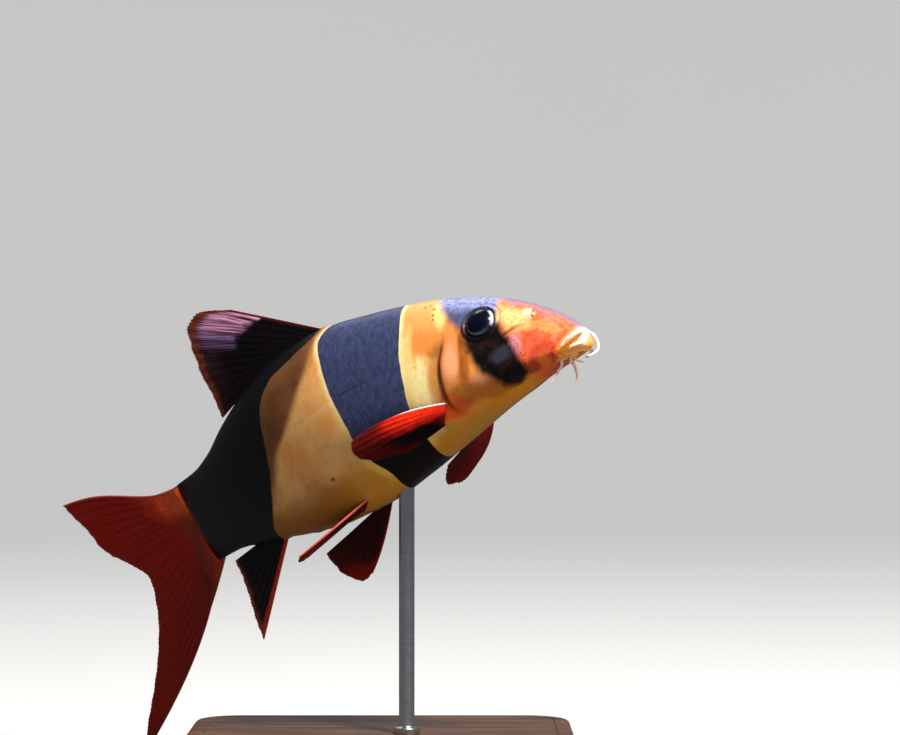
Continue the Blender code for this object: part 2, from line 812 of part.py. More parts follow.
def shape_head(head, cutters):
    """Eye rims and sockets, snout pad, lips with the line of the mouth, nostrils and the fold."""
    raised = snout_flesh(0.0, cutters)
    sunk = [
        roll_on_skin("mouth_line", arc_across(MOUTH_LINE), MOUTH_LINE_RADII, 0.0, 0.0, cutters)
    ]
    for side in ("right", "left"):
        above = on_side(side, EYE_PLACE[1])
        rim_radii = (EYE_RIM_RADIUS, EYE_RIM_THICKNESS)
        raised.append(ring_on_skin(f"eye_rim_{side}", EYE_PLACE[0], above, *rim_radii, cutters))
        sunk.append(eyeball(f"socket_{side}", side, GAP, cutters))
        place, above = NOSTRIL_PLACE[0], on_side(side, NOSTRIL_PLACE[1])
        rim_radii = (NOSTRIL_RIM_RADIUS, NOSTRIL_RIM_THICKNESS)
        raised.append(
            ring_on_skin(f"nostril_rim_{side}", place, above, *rim_radii, cutters, NOSTRIL_SEGMENTS)
        )
        spot = skin(place, above)
        axes = skin_axes(place, above)
        sunk.append(ball(f"nostril_{side}", spot, axes, NOSTRIL_PIT, NOSTRIL_SEGMENTS, cutters))
        fold = [(place, on_side(side, around)) for place, around in FOLD_BELOW_EYE]
        sunk.append(roll_on_skin(f"fold_{side}", fold, FOLD_RADII, 0.0, 0.0, cutters))
    boolean(head, "UNION", raised)
    boolean(head, "DIFFERENCE", sunk)


def build_eyes(where):
    finish = material("eye", (0.02, 0.03, 0.05), 0.08)
    for side in ("right", "left"):
        finish_with(eyeball(f"eye_{side}", side, 0.0, where), finish)


def cut_clear(obj, cutters, others=()):
    """Cuts a piece a gap short of the body's skin, and of other shapes on it."""
    boolean(obj, "DIFFERENCE", [body_clearance(cutters)], "MANIFOLD")
    for other in others:
        boolean(obj, "DIFFERENCE", [other], "MANIFOLD")


def build_fins(where, cutters):
    dark = material("fin_dark", (0.05, 0.015, 0.015), 0.4)
    red = material("fin_red", (0.40, 0.03, 0.01), 0.4)
    dorsal = rayed_fin("dorsal_fin", *DORSAL_ROOT, DORSAL_RAYS, DORSAL_GRID, where)
    anal = rayed_fin("anal_fin", *ANAL_ROOT, ANAL_RAYS, ANAL_GRID, where)
    for fin in (dorsal, anal):
        cut_clear(fin, cutters)
        finish_with(fin, dark)
    for side in ("right", "left"):
        pectoral_root = [(place, on_side(side, around)) for place, around in PECTORAL_ROOT]
        pelvic_root = [(place, on_side(side, around)) for place, around in PELVIC_ROOT]
        name = f"pectoral_fin_{side}"
        bow = PECTORAL_BOW[side] * MM
        pectoral = rayed_fin(name, *pectoral_root, PECTORAL_RAYS[side], PECTORAL_GRID, where, bow)
        cut_clear(pectoral, cutters, [gill_cover_clearance(cutters)])
        finish_with(pectoral, red)
        name = f"pelvic_fin_{side}"
        bow = PELVIC_BOW[side] * MM
        pelvic = rayed_fin(name, *pelvic_root, PELVIC_RAYS[side], PELVIC_GRID, where, bow)
        cut_clear(pelvic, cutters)
        finish_with(pelvic, red)
    finish_with(tail_lobe("tail_fin_upper", UPPER_ROOT_LEVELS, UPPER_TIPS, where), red)
    finish_with(tail_lobe("tail_fin_lower", LOWER_ROOT_LEVELS, LOWER_TIPS, where), red)


def build_barbels(where, cutters):
    finish = material("barbel", (0.85, 0.78, 0.70), 0.45)
    for name, (points, thickness) in BARBELS.items():
        spots = [skin(place, around, lift * MM) for place, around, lift in points]
        last = len(spots) - 1
        radii = [thickness / 2 * MM * (1 - BARBEL_TAPER * i / last) for i in range(last + 1)]
        barbel = tube(f"barbel_{name}", spots, radii, where)
        cut_clear(barbel, cutters, snout_flesh(GAP, cutters))
        finish_with(barbel, finish)


def build_stand(where, cutters):
    """A flat base with rounded corners, and one rod up to the middle of the belly."""
    length, width, height = BASE_SIZE
    bm = bmesh.new()
    bmesh.ops.create_cube(bm, size=1.0, matrix=Matrix.Diagonal((length, width, height, 1.0)))
    bmesh.ops.translate(bm, verts=bm.verts, vec=(0.0, 0.0, height / 2))
    upright = [e for e in bm.edges if abs(e.verts[0].co.z - e.verts[1].co.z) > height / 2]
    bmesh.ops.bevel(bm, geom=upright, offset=BASE_CORNER, segments=6, affect="EDGES", profile=0.5)
    top = [e for e in bm.edges if min(v.co.z for v in e.verts) > height - 0.1 * MM]
    bmesh.ops.bevel(bm, geom=top, offset=BASE_EDGE, segments=2, affect="EDGES", profile=0.5)
    base = mesh_object("stand_base", bm, where)
    finish_with(base, material("stand_wood", (0.06, 0.035, 0.02), 0.35))

    belly = skin(ROD_PLACE, -90)
    foot = height + ROD_FOOT_DEPTH
    head_of_rod = belly.z + ROD_INTO_BELLY
    bm = bmesh.new()
    bmesh.ops.create_cone(
        bm, cap_ends=True, segments=20, radius1=ROD_RADIUS, radius2=ROD_RADIUS, depth=head_of_rod - foot
    )
    bmesh.ops.translate(bm, verts=bm.verts, vec=(belly.x, belly.y, (head_of_rod + foot) / 2))
    rod = mesh_object("stand_rod", bm, where)
    cut_clear(rod, cutters)
    finish_with(rod, material("stand_steel", (0.55, 0.55, 0.56), 0.3, 1.0))


def main():
    clear_scene()
    model = collection("clown_loach")
    cutters = collection("cutters")
    head = build_body(model)
    shape_head(head, cutters)
    build_eyes(model)
    build_fins(model, cutters)
    build_barbels(model, cutters)
    build_stand(model, cutters)


if __name__ == "__main__":
    main()
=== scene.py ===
"""Looks of the life-size clown loach model: skin, eyes, fins, barbels, stand and studio.

The fish is set out along a curved spine, with three axes that travel with it: back, towards the
tail; right, out of the fish's right flank; and up, towards its back fin. A place on the skin is
given as (place, around): place runs from 0 at the snout to 1 at the root of the tail fin, and
around is an angle in degrees, 0 on the right flank, 90 on the ridge of the back, 180 on the left
flank and -90 on the middle of the belly.
"""

import math

import bpy
import numpy as np
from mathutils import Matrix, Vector


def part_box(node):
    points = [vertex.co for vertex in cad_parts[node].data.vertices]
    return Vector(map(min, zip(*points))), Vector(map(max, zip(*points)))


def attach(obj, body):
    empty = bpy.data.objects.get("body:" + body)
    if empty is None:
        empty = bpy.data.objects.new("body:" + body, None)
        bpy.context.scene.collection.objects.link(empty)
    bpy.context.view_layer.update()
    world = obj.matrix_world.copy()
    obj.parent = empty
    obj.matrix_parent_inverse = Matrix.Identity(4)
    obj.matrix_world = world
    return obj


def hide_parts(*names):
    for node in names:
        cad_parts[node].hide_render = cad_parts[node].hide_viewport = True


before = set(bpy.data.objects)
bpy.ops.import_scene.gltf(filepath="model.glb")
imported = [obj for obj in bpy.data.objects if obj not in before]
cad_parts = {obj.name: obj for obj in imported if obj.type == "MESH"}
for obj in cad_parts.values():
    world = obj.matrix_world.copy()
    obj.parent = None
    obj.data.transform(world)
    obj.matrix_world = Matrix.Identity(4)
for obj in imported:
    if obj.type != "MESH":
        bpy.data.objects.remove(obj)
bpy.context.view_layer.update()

MM = 0.001
SEED = 7
UPWARD = np.array((0.0, 0.0, 1.0))
SIDES = ("right", "left")

# Size of the fish, and how it hangs in the water
BODY_LENGTH = 142.6 * MM
SNOUT_TIP = (52.6, -38.0, 114.3)
HEAD_PITCH = 10.0
HEAD_YAW = 30.6
HEAD_ROLL = 9.6
# Bends in degrees for each body length: (place, bend)
SIDE_BEND = ((0.0, 72), (0.25, -5), (0.40, -22), (0.55, 25), (0.70, 48), (0.85, 49), (1.0, 32))
BACK_BEND = ((0.0, -18), (0.3, -33), (0.6, -3), (1.0, -1))
TWIST = ((0.0, -9), (0.3, -23), (0.6, -40), (1.0, -2))
SPINE_STEPS = 400

# Body sections in percent of the body length:
# (place, spine to back, spine to belly, half width, level of the widest point)
SECTIONS = (
    (0.0, 0.84, 1.05, 0.60, -0.3),
    (1.2, 2.70, 1.25, 1.95, -0.5),
    (3.0, 4.50, 1.75, 2.95, -0.8),
    (6.0, 6.60, 2.60, 3.80, -1.2),
    (10.0, 8.80, 3.85, 4.70, -1.5),
    (15.0, 11.10, 5.70, 5.60, -1.4),
    (20.0, 12.90, 7.35, 6.40, -1.0),
    (26.0, 14.70, 9.30, 7.15, -0.4),
    (33.0, 16.40, 11.25, 7.85, 0.4),
    (42.0, 18.30, 13.20, 8.15, 1.2),
    (52.0, 19.80, 14.50, 7.85, 1.8),
    (62.0, 19.20, 14.20, 6.95, 1.8),
    (72.0, 16.80, 12.50, 5.60, 1.4),
    (80.0, 13.75, 10.50, 4.40, 1.0),
    (88.0, 10.30, 8.80, 3.25, 0.6),
    (94.0, 9.00, 8.00, 2.35, 0.3),
    (100.0, 8.70, 7.85, 1.40, 0.0),
)
ROUNDNESS_ABOVE = 2.0
ROUNDNESS_BELOW = 2.15

# The skin's net: columns round the body, and rows along the head and along the rest
SKIN_COLUMNS = 288
HEAD_ROWS = 196
BODY_ROWS = 116
HEAD_ROWS_END = 0.31
HEAD_ROW_CROWDING = 1.22
SNOUT_CAP = 0.0035
# Past the stalk the flesh thins to a wedge over the root of the tail fin
WEDGE_LENGTH = 0.058
WEDGE_END_WIDTH = 0.04
WEDGE_END_HEIGHT = 0.93

# Rear edge of the gill cover: (angle above the side, place)
GILL_EDGE = (
    (-90, 0.232),
    (-62, 0.246),
    (-42, 0.262),
    (-28, 0.267),
    (-14, 0.270),
    (-2, 0.270),
    (8, 0.268),
    (19, 0.260),
    (38, 0.250),
    (60, 0.243),
    (90, 0.235),
)
# Gill cover: its height at the edge and the lengths over which it rises in front of the edge and
# drops behind it, in mm, and the angles above the side between which it sets in at either end
GILL_COVER_LIFT = 0.45
GILL_COVER_RISE = 6.417
GILL_COVER_DROP = 0.8
GILL_COVER_TOP = (36, 4)
GILL_COVER_BOTTOM = (-52, -24)
CHEEK_FOLD = ((0.221, 38), (0.227, 31), (0.229, 21), (0.231, 8), (0.227, -8))
# Swellings and hollows of the head: (place, around, height in mm, width in mm)
SWELLINGS = (
    (0.232, -4, 0.55, 4.2),
    (0.150, -18, 0.25, 5.0),
    (0.128, 52, -0.35, 3.2),
    (0.165, 66, 0.22, 2.6),
)

# Eyes
EYE_PLACE = (0.188, 38.5)
EYE_RADIUS = 4.3
EYE_HALF_DEPTH = 2.9
EYE_BULGE = 0.22
EYE_SUNK = 1.4
EYE_GAP = 0.3
EYE_NET = (72, 56)
LID_RADIUS = 4.05
LID_CREST = 4.5
LID_RISE = 0.42
LID_GROOVE = 0.25
SOCKET_REACH = 7.0
SOCKET_DEPTH = 4.0

# Snout
PAD_CENTRE = 0.013
PAD_ABOVE = 0.8
PAD_HALF_SIZE = (2.3, 2.8, 2.35)
PAD_BLEND = 0.22
# Ovals: (place, around, half length in mm, half height in mm, turn in degrees)
NOSTRILS = ((0.096, 57, 1.0, 0.32, 88), (0.0935, 49, 0.5, 0.24, 20))
NOSTRIL_FLAP = (0.095, 52)
OVAL_DEPTH = 5.0
FOLD_BELOW_EYE = ((0.112, 35), (0.122, 32), (0.136, 27), (0.150, 22), (0.166, 16))
UPPER_LIP = ((0.049, -62), (0.037, -66), (0.024, -71), (0.015, -79), (0.012, -90))
MOUTH_LINE = ((0.055, -66), (0.043, -71), (0.031, -77), (0.024, -83), (0.022, -90))
LOWER_LIP = ((0.052, -72), (0.044, -76), (0.036, -81), (0.033, -90))
# Lips: (line, height, width, width of their colour), and how much they thin at the corners, in mm
LIPS = ((UPPER_LIP, 0.45, 0.72, 1.25), (LOWER_LIP, 0.40, 0.66, 0.95))
LIP_THINNING = 0.2
VENT = (0.705, -84)

# Rounded forms raised on the skin or sunk in it: (height, width) in mm, the widths of the nostril
# and its rim being shares of its oval
RELIEF = {
    "gill_crease": (-0.3, 0.7),
    "cheek_fold": (-0.2, 0.8),
    "muzzle_groove": (-0.2, 0.4),
    "muzzle_roll": (0.14, 0.4),
    "eye_fold": (-0.42, 0.42),
    "eye_fold_rim": (0.16, 0.45),
    "nostril_flap": (0.15, 0.9),
    "nostril_rim": (0.12, 0.8),
    "nostril": (-0.6, 0.95),
    "mouth_slit": (-0.95, 0.36),
    "vent": (0.45, 1.1),
    "vent_opening": (-0.5, 0.35),
    "lateral_line": (-0.07, 0.7),
}

# Edges of the three dark bands: (angle above the side, place)
BAND_1_FRONT = (
    (-90, 0.160),
    (-68, 0.142),
    (-58, 0.126),
    (-48, 0.113),
    (-30, 0.110),
    (-10, 0.112),
    (2, 0.119),
    (9, 0.123),
    (15, 0.130),
    (21, 0.136),
    (30, 0.150),
    (40, 0.156),
    (53, 0.162),
    (72, 0.167),
    (90, 0.170),
)
BAND_1_REAR = (
    (-90, 0.100),
    (-68, 0.126),
    (-61, 0.138),
    (-48, 0.153),
    (-34, 0.162),
    (-16, 0.175),
    (-3, 0.190),
    (8, 0.202),
    (15, 0.207),
    (23, 0.215),
    (31, 0.222),
    (37, 0.232),
    (48, 0.250),
    (62, 0.265),
    (77, 0.275),
    (90, 0.280),
)
BAND_2_FRONT = ((-90, 0.355), (-53, 0.350), (-16, 0.355), (2, 0.352), (19, 0.350), (42, 0.345), (90, 0.351))
BAND_2_REAR = (
    (-90, 0.462),
    (-58, 0.458),
    (-29, 0.488),
    (-21, 0.495),
    (-5, 0.500),
    (15, 0.510),
    (37, 0.515),
    (55, 0.517),
    (72, 0.505),
    (90, 0.490),
)
BAND_3_FRONT = (
    (-90, 0.800),
    (-54, 0.785),
    (-19, 0.732),
    (1, 0.700),
    (16, 0.687),
    (32, 0.677),
    (44, 0.662),
    (53, 0.635),
    (59, 0.585),
    (70, 0.535),
    (90, 0.515),
)
BAND_3_REAR = ((-90, 1.004), (-45, 0.998), (0, 0.990), (45, 0.996), (90, 1.003))
BANDS = (
    ("band_1", BAND_1_FRONT, BAND_1_REAR),
    ("band_2", BAND_2_FRONT, BAND_2_REAR),
    ("band_3", BAND_3_FRONT, BAND_3_REAR),
)
BAND_REACH = 20.0
LATERAL_LINE = ((0.285, 17), (0.35, 14), (0.50, 12), (0.70, 8), (0.90, 3), (1.0, 0))
# Front edge of the painted shadow of the back fin, dark on the flank before the third band, and rear edge of
# the muzzle
PAINTED_FIN_SHADOW_FRONT = (
    (-90, 0.790),
    (-40, 0.745),
    (2, 0.669),
    (13, 0.622),
    (26, 0.580),
    (44, 0.536),
    (60, 0.521),
    (90, 0.505),
)
MUZZLE_EDGE = (
    (-90, 0.044),
    (-60, 0.046),
    (-40, 0.049),
    (-20, 0.050),
    (-6, 0.049),
    (8, 0.043),
    (22, 0.032),
    (40, 0.020),
    (62, 0.012),
    (90, 0.008),
)

# Soft patches of colour, the same on both flanks, painted one over the other. Each is
# (name, colour on screen, strength, raggedness, spots), and each spot is (place, around,
# half length in mm, half height in mm, turn in degrees up from the line of the body)
PATCHES = (
    ("coral", (224, 92, 56), 0.8, 0.9, ((0.088, 17, 3.8, 3.0, 24), (0.105, 4, 3.0, 2.4, 83))),
    (
        "orange", (244, 148, 76), 0.85, 0.7,
        ((0.065, 36, 3.6, 1.6, 21), (0.128, 29, 2.8, 1.3, -30), (0.096, 35, 2.2, 1.3, 0)),
    ),
    (
        "deep_red", (180, 50, 22), 0.75, 1.1,
        ((0.058, 2, 2.8, 2.4, 43), (0.077, -2, 2.6, 2.2, 40), (0.074, -26, 2.8, 1.8, -40)),
    ),
    ("bright_red", (206, 52, 18), 0.5, 0.6, ((0.054, -22, 1.5, 0.6, -70), (0.061, -50, 2.2, 0.7, -53))),
    ("wedge", (226, 114, 26), 0.85, 0.5, ((0.076, -42, 1.8, 1.4, -75),)),
    ("dark_red", (140, 34, 16), 0.7, 0.7, ((0.097, -44, 2.2, 1.6, -60),)),
    ("lilac", (222, 150, 176), 0.6, 0.8, ((0.123, 14, 2.6, 1.9, 75),)),
    ("pink", (214, 118, 118), 0.6, 0.9, ((0.072, 59, 3.2, 1.6, 22), (0.125, 71, 6.0, 1.6, 10))),
    ("cream", (240, 198, 124), 1.0, 0.6, ((0.131, 45, 5.4, 2.9, 10), (0.106, 51, 2.6, 1.9, 30))),
    ("white", (244, 226, 200), 0.6, 0.4, ((0.101, 53, 1.5, 1.1, 30),)),
    ("rosy", (210, 142, 112), 0.7, 0.7, ((0.187, -18, 3.6, 1.9, 4),)),
    ("under_cheek", (160, 92, 20), 0.75, 0.8, ((0.225, -29, 8.0, 2.8, 11), (0.180, -40, 5.5, 2.6, 10))),
    ("cheek_brown", (156, 84, 22), 0.85, 0.6, ((0.223, 2, 4.6, 1.6, -86), (0.214, 17, 2.4, 1.8, 78))),
    ("gill_flap", (246, 164, 118), 0.95, 0.4, ((0.246, 8, 4.6, 2.1, -88),)),
    ("olive", (150, 96, 32), 0.8, 0.9, ((0.277, 19, 2.4, 2.1, 32),)),
    ("tan", (204, 138, 66), 0.75, 0.7, ((0.284, 0, 5.6, 2.2, -83),)),
    ("glow", (184, 52, 14), 0.65, 0.8, ((0.266, -36, 4.4, 2.6, 5), (0.270, -27, 3.0, 2.0, 12))),
    ("fin_root", (222, 84, 22), 0.75, 0.7, ((0.277, -38, 3.6, 2.4, 10),)),
    ("deep_orange", (248, 136, 60), 0.85, 0.6, ((0.304, 28, 4.6, 3.4, 21),)),
    ("butter", (252, 222, 134), 0.75, 0.7, ((0.268, 51, 5.0, 1.9, 71), (0.338, 14, 9.5, 1.9, -85))),
    (
        "specks", (108, 48, 18), 0.85, 0.2,
        (
            (0.300, 64, 0.45, 0.4, 0), (0.290, 66, 0.4, 0.35, 0), (0.281, 59, 0.55, 0.4, 0),
            (0.280, 51, 0.45, 0.4, 0), (0.279, 46, 0.4, 0.35, 0), (0.577, -31, 0.8, 0.6, 0),
        ),
    ),
)
PATCHES_OVER_BANDS = (
    # slate is a painted highlight on the head band
    ("slate", (50, 54, 68), 0.75, 0.8, ((0.150, 8, 2.8, 2.0, -16),)),
    ("rear_edge", (122, 50, 14), 0.6, 0.8, ((0.221, 26, 3.0, 1.2, -86),)),
)

# Colours of the skin on screen, painted sheens, highlights and shadows among them
SKIN_TINTS = {
    "pale orange": (232, 158, 84),
    "peach": (240, 184, 112),
    "mottled orange": (214, 118, 62),
    "ochre": (184, 124, 26),
    # browner lower rear flank, partly the skin's colour and partly painted shade
    "low flank brown and shade": (132, 72, 14),
    # painted shadow of the back fin on the rear flank
    "painted_fin_shadow": (84, 30, 12),
    "cream": (255, 234, 166),
    "bright orange": (248, 158, 84),
    "cheek": (220, 130, 56),
    "snout red": (228, 90, 46),
    "snout pink": (240, 130, 92),
    "throat": (224, 140, 18),
    "chin": (230, 96, 28),
    "flush": (196, 54, 30),
    "lower muzzle": (255, 160, 44),
    # painted highlight on the upper part of the muzzle
    "lit upper muzzle": (236, 164, 104),
    # painted sheen along the ridge of the snout
    "lavender sheen": (112, 110, 134),
    "freckle": (122, 42, 26),
    "streak": (120, 60, 34),
    # the tail root's skin, lit above and shaded below: painted light and shade
    "shaded lower tail root": (112, 34, 14),
    "lit upper tail root": (196, 70, 22),
    # painted shade in the fold below the eye
    "eye fold": (96, 34, 18),
    "yellow border": (226, 186, 84),
    # the second band's blue grey is a painted sheen where light falls on it
    "band sheen blue": (64, 72, 108),
    "band sheen slate": (46, 53, 84),
    "black": (4, 3, 5),
    "warm black": (34, 14, 12),
    # painted sheen on the top of the head band, behind the eye and over the crown
    "sheen behind eye": (74, 78, 108),
    "crown sheen blue": (146, 152, 208),
    "crown sheen slate": (112, 116, 158),
    "lateral line": (14, 16, 30),
}
# Small forms and their colours: (name, strength, colour on screen). The folds, the mouth slit, the nostrils
# and the vent are darkened with painted shade in their hollows; the lips, the roots of the barbels and the
# lids have colours of their own
DETAIL_TINTS_AND_HOLLOW_SHADE = (
    ("cheek_fold", 0.5, (150, 78, 20)),
    ("gill_fold", 0.85, (124, 44, 12)),
    ("vent", 0.7, (96, 38, 12)),
    ("lips", 0.6, (238, 176, 112)),
    ("barbel_root", 0.95, (250, 240, 226)),
    ("mouth_slit", 0.6, (168, 90, 40)),
    ("nostril", 0.9, (58, 20, 14)),
    ("lid", 0.85, (14, 12, 16)),
)

def angled(degrees):
    """Direction of a ray of the back or belly fin, above the line of the spine."""
    return (math.cos(math.radians(degrees)), 0.0, math.sin(math.radians(degrees)))


# Rays of each fin: (share of the root line, direction, length in mm)
DORSAL_RAYS = (
    (0.0, angled(34), 31.0),
    (0.12, angled(33), 38.5),
    (0.22, angled(29), 40.0),
    (0.35, angled(25), 36.0),
    (0.55, angled(17), 29.5),
    (0.8, angled(1.5), 21.5),
    (1.0, angled(-15), 17.5),
)
ANAL_RAYS = (
    (0.0, angled(-38), 33.5),
    (0.3, angled(-33), 27.0),
    (0.55, angled(-25), 20.0),
    (0.8, angled(-15), 15.0),
    (1.0, angled(-4), 12.0),
)
PECTORAL_RAYS = {
    "right": (
        (0.0, (0.77, 0.62, 0.05), 23.0),
        (0.12, (0.78, 0.60, -0.03), 25.5),
        (0.25, (0.80, 0.54, -0.13), 26.5),
        (0.5, (0.85, 0.38, -0.25), 23.0),
        (1.0, (0.93, 0.16, -0.28), 13.0),
    ),
    "left": (
        (0.0, (0.60, -0.62, -0.37), 25.5),
        (0.3, (0.76, -0.48, -0.40), 27.5),
        (0.6, (0.86, -0.36, -0.36), 27.5),
        (1.0, (0.93, -0.18, -0.30), 18.0),
    ),
}
PELVIC_RAYS = {
    "right": (
        (0.0, (0.82, 0.47, -0.33), 23.5),
        (0.2, (0.85, 0.39, -0.32), 24.0),
        (0.6, (0.92, 0.16, -0.24), 20.5),
        (1.0, (0.96, 0.02, -0.12), 16.0),
    ),
    "left": (
        (0.0, (0.72, -0.26, -0.68), 24.0),
        (0.3, (0.78, -0.17, -0.61), 26.0),
        (0.6, (0.86, -0.08, -0.44), 25.0),
        (1.0, (0.97, 0.00, -0.20), 22.0),
    ),
}
# How far the tip of each paired fin's first ray bends over towards its last ray, in mm
FIN_BOW = {
    "pectoral": {"right": 6.5, "left": 6.0},
    "pelvic": {"right": 2.0, "left": 2.0},
}
# Roots of the fins: the (place, around) of the first and last ray, paired fins on the right side
DORSAL_ROOT = ((0.52, 90), (0.685, 90))
ANAL_ROOT = ((0.79, -90), (0.875, -90))
PECTORAL_ROOT = ((0.274, -27), (0.293, -47))
PELVIC_ROOT = ((0.535, -62), (0.562, -74))
FIN_ROOT_DEPTH = 2.5
# Swellings of the skin where the fins rise: (root, height, width) in mm
FIN_ROOT_SWELLS = (
    (DORSAL_ROOT, 0.55, 1.5),
    (ANAL_ROOT, 0.5, 1.3),
    (PECTORAL_ROOT, 0.5, 1.6),
    (PELVIC_ROOT, 0.45, 1.4),
)

# Tail fin, from its uppermost ray to its lowest: (share, behind, above) of the tips in mm
TAIL_TIPS = (
    (0.0, 44.2, 24.8),
    (0.15, 42.8, 16.8),
    (0.30, 40.8, 7.6),
    (0.425, 35.6, 2.2),
    (0.5, 29.6, -5.8),
    (0.575, 31.3, -12.9),
    (0.69, 35.9, -23.5),
    (0.81, 41.7, -33.9),
    (0.94, 46.3, -43.2),
    (1.0, 45.0, -45.3),
)
TAIL_ROOT_LEVELS = (11.9, -10.7)
TAIL_CURL = 0.004
TAIL_CURL_CHANGE = 0.001
TAIL_CURL_SPAN = 6.0
# How far the outermost rays bow upwards, in mm, as a half wave and a whole wave along them
TAIL_UPPER_BOW = (-0.9, -1.35)
TAIL_LOWER_BOW = (-1.2, 0.0)

# Fin sheets, in mm; forks are the shares of a ray where it splits in two and in four
RAY_THICKNESS = 0.6
MEMBRANE_THICKNESS = 0.4
MARGIN_THINNING = 0.6
THICK_ROOT_SHARE = 0.27
TAIL_ROOT_THICKNESS = 4.0
MEMBRANE_RIPPLE = 0.16
UNEVEN_MARGIN = 0.008
FORKS = ((0.30, 0.85), (0.62, 1.0))
COLUMNS_PER_RAY = 18
# Rays and rows of each fin
DORSAL_NET = (13, 84)
ANAL_NET = (9, 72)
PECTORAL_NET = (14, 64)
PELVIC_NET = (9, 60)
TAIL_NET = (20, 96)

# Looks of the fins, colours on screen. inner runs into outer over the spread of shares from root
# to margin; ray is the colour of the rays there; glow is a colour near the root, fading between
# two shares of the fin's length and two of its width, on the tail fin a painted glow of light shining
# through it; lead is that of the first ray over lead_width of the fin, as far out as lead_to, on the
# near pectoral fin a painted highlight; margin that of the outermost edge from margin_from; rear that
# of the last rays, over rear_spread; streak those of lines near the tips of the first rays, painted
# light shining through the back fin; clear is how solid the membrane is at the margin. Where there is
# no glow or streak the entry is left out, and a paired fin without an entry for its side takes its kind's
FIN_LOOKS = {
    "dorsal": {
        "inner": (7, 5, 8), "outer": (26, 12, 20), "spread": (0.60, 0.95), "ray": (52, 24, 26),
        "lead": (84, 18, 16), "lead_width": 0.05, "lead_to": 2.0,
        "margin": (112, 48, 26), "margin_from": 0.90,
        "rear": (12, 6, 8), "rear_spread": (0.7, 1.0),
        # the streaks are lines of the membrane, painted pink and violet where light shines through it
        "streak": ((232, 160, 200), (112, 92, 144)), "clear": 0.90,
    },
    "anal": {
        "inner": (7, 5, 8), "outer": (20, 9, 10), "spread": (0.70, 0.95), "ray": (44, 20, 16),
        "lead": (176, 46, 20), "lead_width": 0.12, "lead_to": 2.0,
        "margin": (120, 66, 40), "margin_from": 0.90,
        "rear": (8, 5, 8), "rear_spread": (0.4, 0.9), "clear": 0.95,
    },
    "tail": {
        "inner": (146, 42, 14), "outer": (124, 16, 5), "spread": (0.1, 0.45), "ray": (140, 34, 10),
        # the glow near the tail fin's root is painted light shining through it
        "glow": (236, 92, 30), "glow_ends": (0.20, 0.50, 0.22, 0.45),
        "lead": (150, 70, 64), "lead_width": 0.012, "lead_to": 2.0,
        "margin": (150, 72, 60), "margin_from": 0.975,
        "rear": (100, 20, 12), "rear_spread": (0.5, 1.0), "clear": 0.97,
    },
    "pectoral": {
        "inner": (190, 24, 14), "outer": (64, 8, 8), "spread": (0.5, 0.85), "ray": (120, 14, 10),
        "glow": (244, 46, 18), "glow_ends": (0.40, 0.72, 0.22, 0.44),
        # the white first ray is a painted highlight along the fin's edge
        "lead": (248, 238, 238), "lead_width": 0.015, "lead_to": 0.6,
        "margin": (96, 26, 26), "margin_from": 0.97,
        "rear": (8, 2, 3), "rear_spread": (0.38, 0.55), "clear": 0.97,
    },
    "pectoral_left": {
        "inner": (120, 14, 12), "outer": (84, 12, 12), "spread": (0.3, 0.8), "ray": (66, 10, 10),
        "lead": (196, 120, 120), "lead_width": 0.02, "lead_to": 0.8,
        "margin": (150, 80, 76), "margin_from": 0.975,
        "rear": (60, 8, 10), "rear_spread": (0.5, 0.9), "clear": 0.97,
    },
    "pelvic": {
        "inner": (24, 6, 9), "outer": (96, 20, 18), "spread": (0.50, 0.9), "ray": (72, 16, 14),
        "lead": (226, 92, 84), "lead_width": 0.06, "lead_to": 2.0,
        "margin": (130, 50, 46), "margin_from": 0.97,
        "rear": (104, 16, 14), "rear_spread": (0.5, 0.9), "clear": 0.97,
    },
    "pelvic_left": {
        "inner": (26, 5, 8), "outer": (112, 18, 15), "spread": (0.70, 0.95), "ray": (64, 12, 12),
        "lead": (152, 26, 18), "lead_width": 0.06, "lead_to": 2.0,
        "margin": (112, 22, 20), "margin_from": 0.97,
        "rear": (30, 6, 8), "rear_spread": (0.5, 0.9), "clear": 0.97,
    },
}

# Barbels: points (place, around, lift in mm) from root to tip, and the thickness at the root in mm
BARBELS = {
    "rostral_outer_right": (
        ((0.009, 48, -0.4), (0.013, 31, 1.4), (0.024, 14, 1.4), (0.033, 7, 1.1), (0.040, -2, 0.9)),
        1.3,
    ),
    "rostral_outer_left": (
        ((0.009, 112, -0.4), (0.006, 142, 0.9), (0.006, 178, 1.5), (0.007, 208, 1.6), (0.010, 240, 1.5),
         (0.016, 260, 1.4)),
        1.3,
    ),
    "rostral_inner_right": (
        ((0.008, 8, -0.4), (0.011, -3, 1.1), (0.016, -5, 1.2), (0.023, -7, 1.2), (0.028, -15, 1.0)),
        1.1,
    ),
    "rostral_inner_left": (
        ((0.015, 186, -0.4), (0.019, 192, 1.0), (0.027, 198, 1.1), (0.035, 204, 1.0)),
        1.1,
    ),
    "maxillary_right": (
        ((0.056, -78, -0.5), (0.062, -85, 0.9), (0.069, -85, 1.5), (0.077, -80, 2.8), (0.088, -74, 4.3)),
        0.9,
    ),
    "maxillary_left": (
        ((0.051, -112, -0.5), (0.052, -119, 1.3), (0.054, -120, 3.0), (0.057, -117, 4.4), (0.063, -111, 5.5)),
        0.9,
    ),
    "mandibular_right": (
        ((0.040, -84, -0.5), (0.042, -83, 1.0), (0.046, -80, 2.0)),
        0.7,
    ),
    "mandibular_left": (
        ((0.040, -96, -0.5), (0.037, -99, 1.0), (0.033, -106, 1.6), (0.029, -114, 2.2)),
        0.7,
    ),
}
# Shares by which a barbel thins and that its round tip takes of its length
BARBEL_TAPER = 0.58
BARBEL_TIP = 0.10
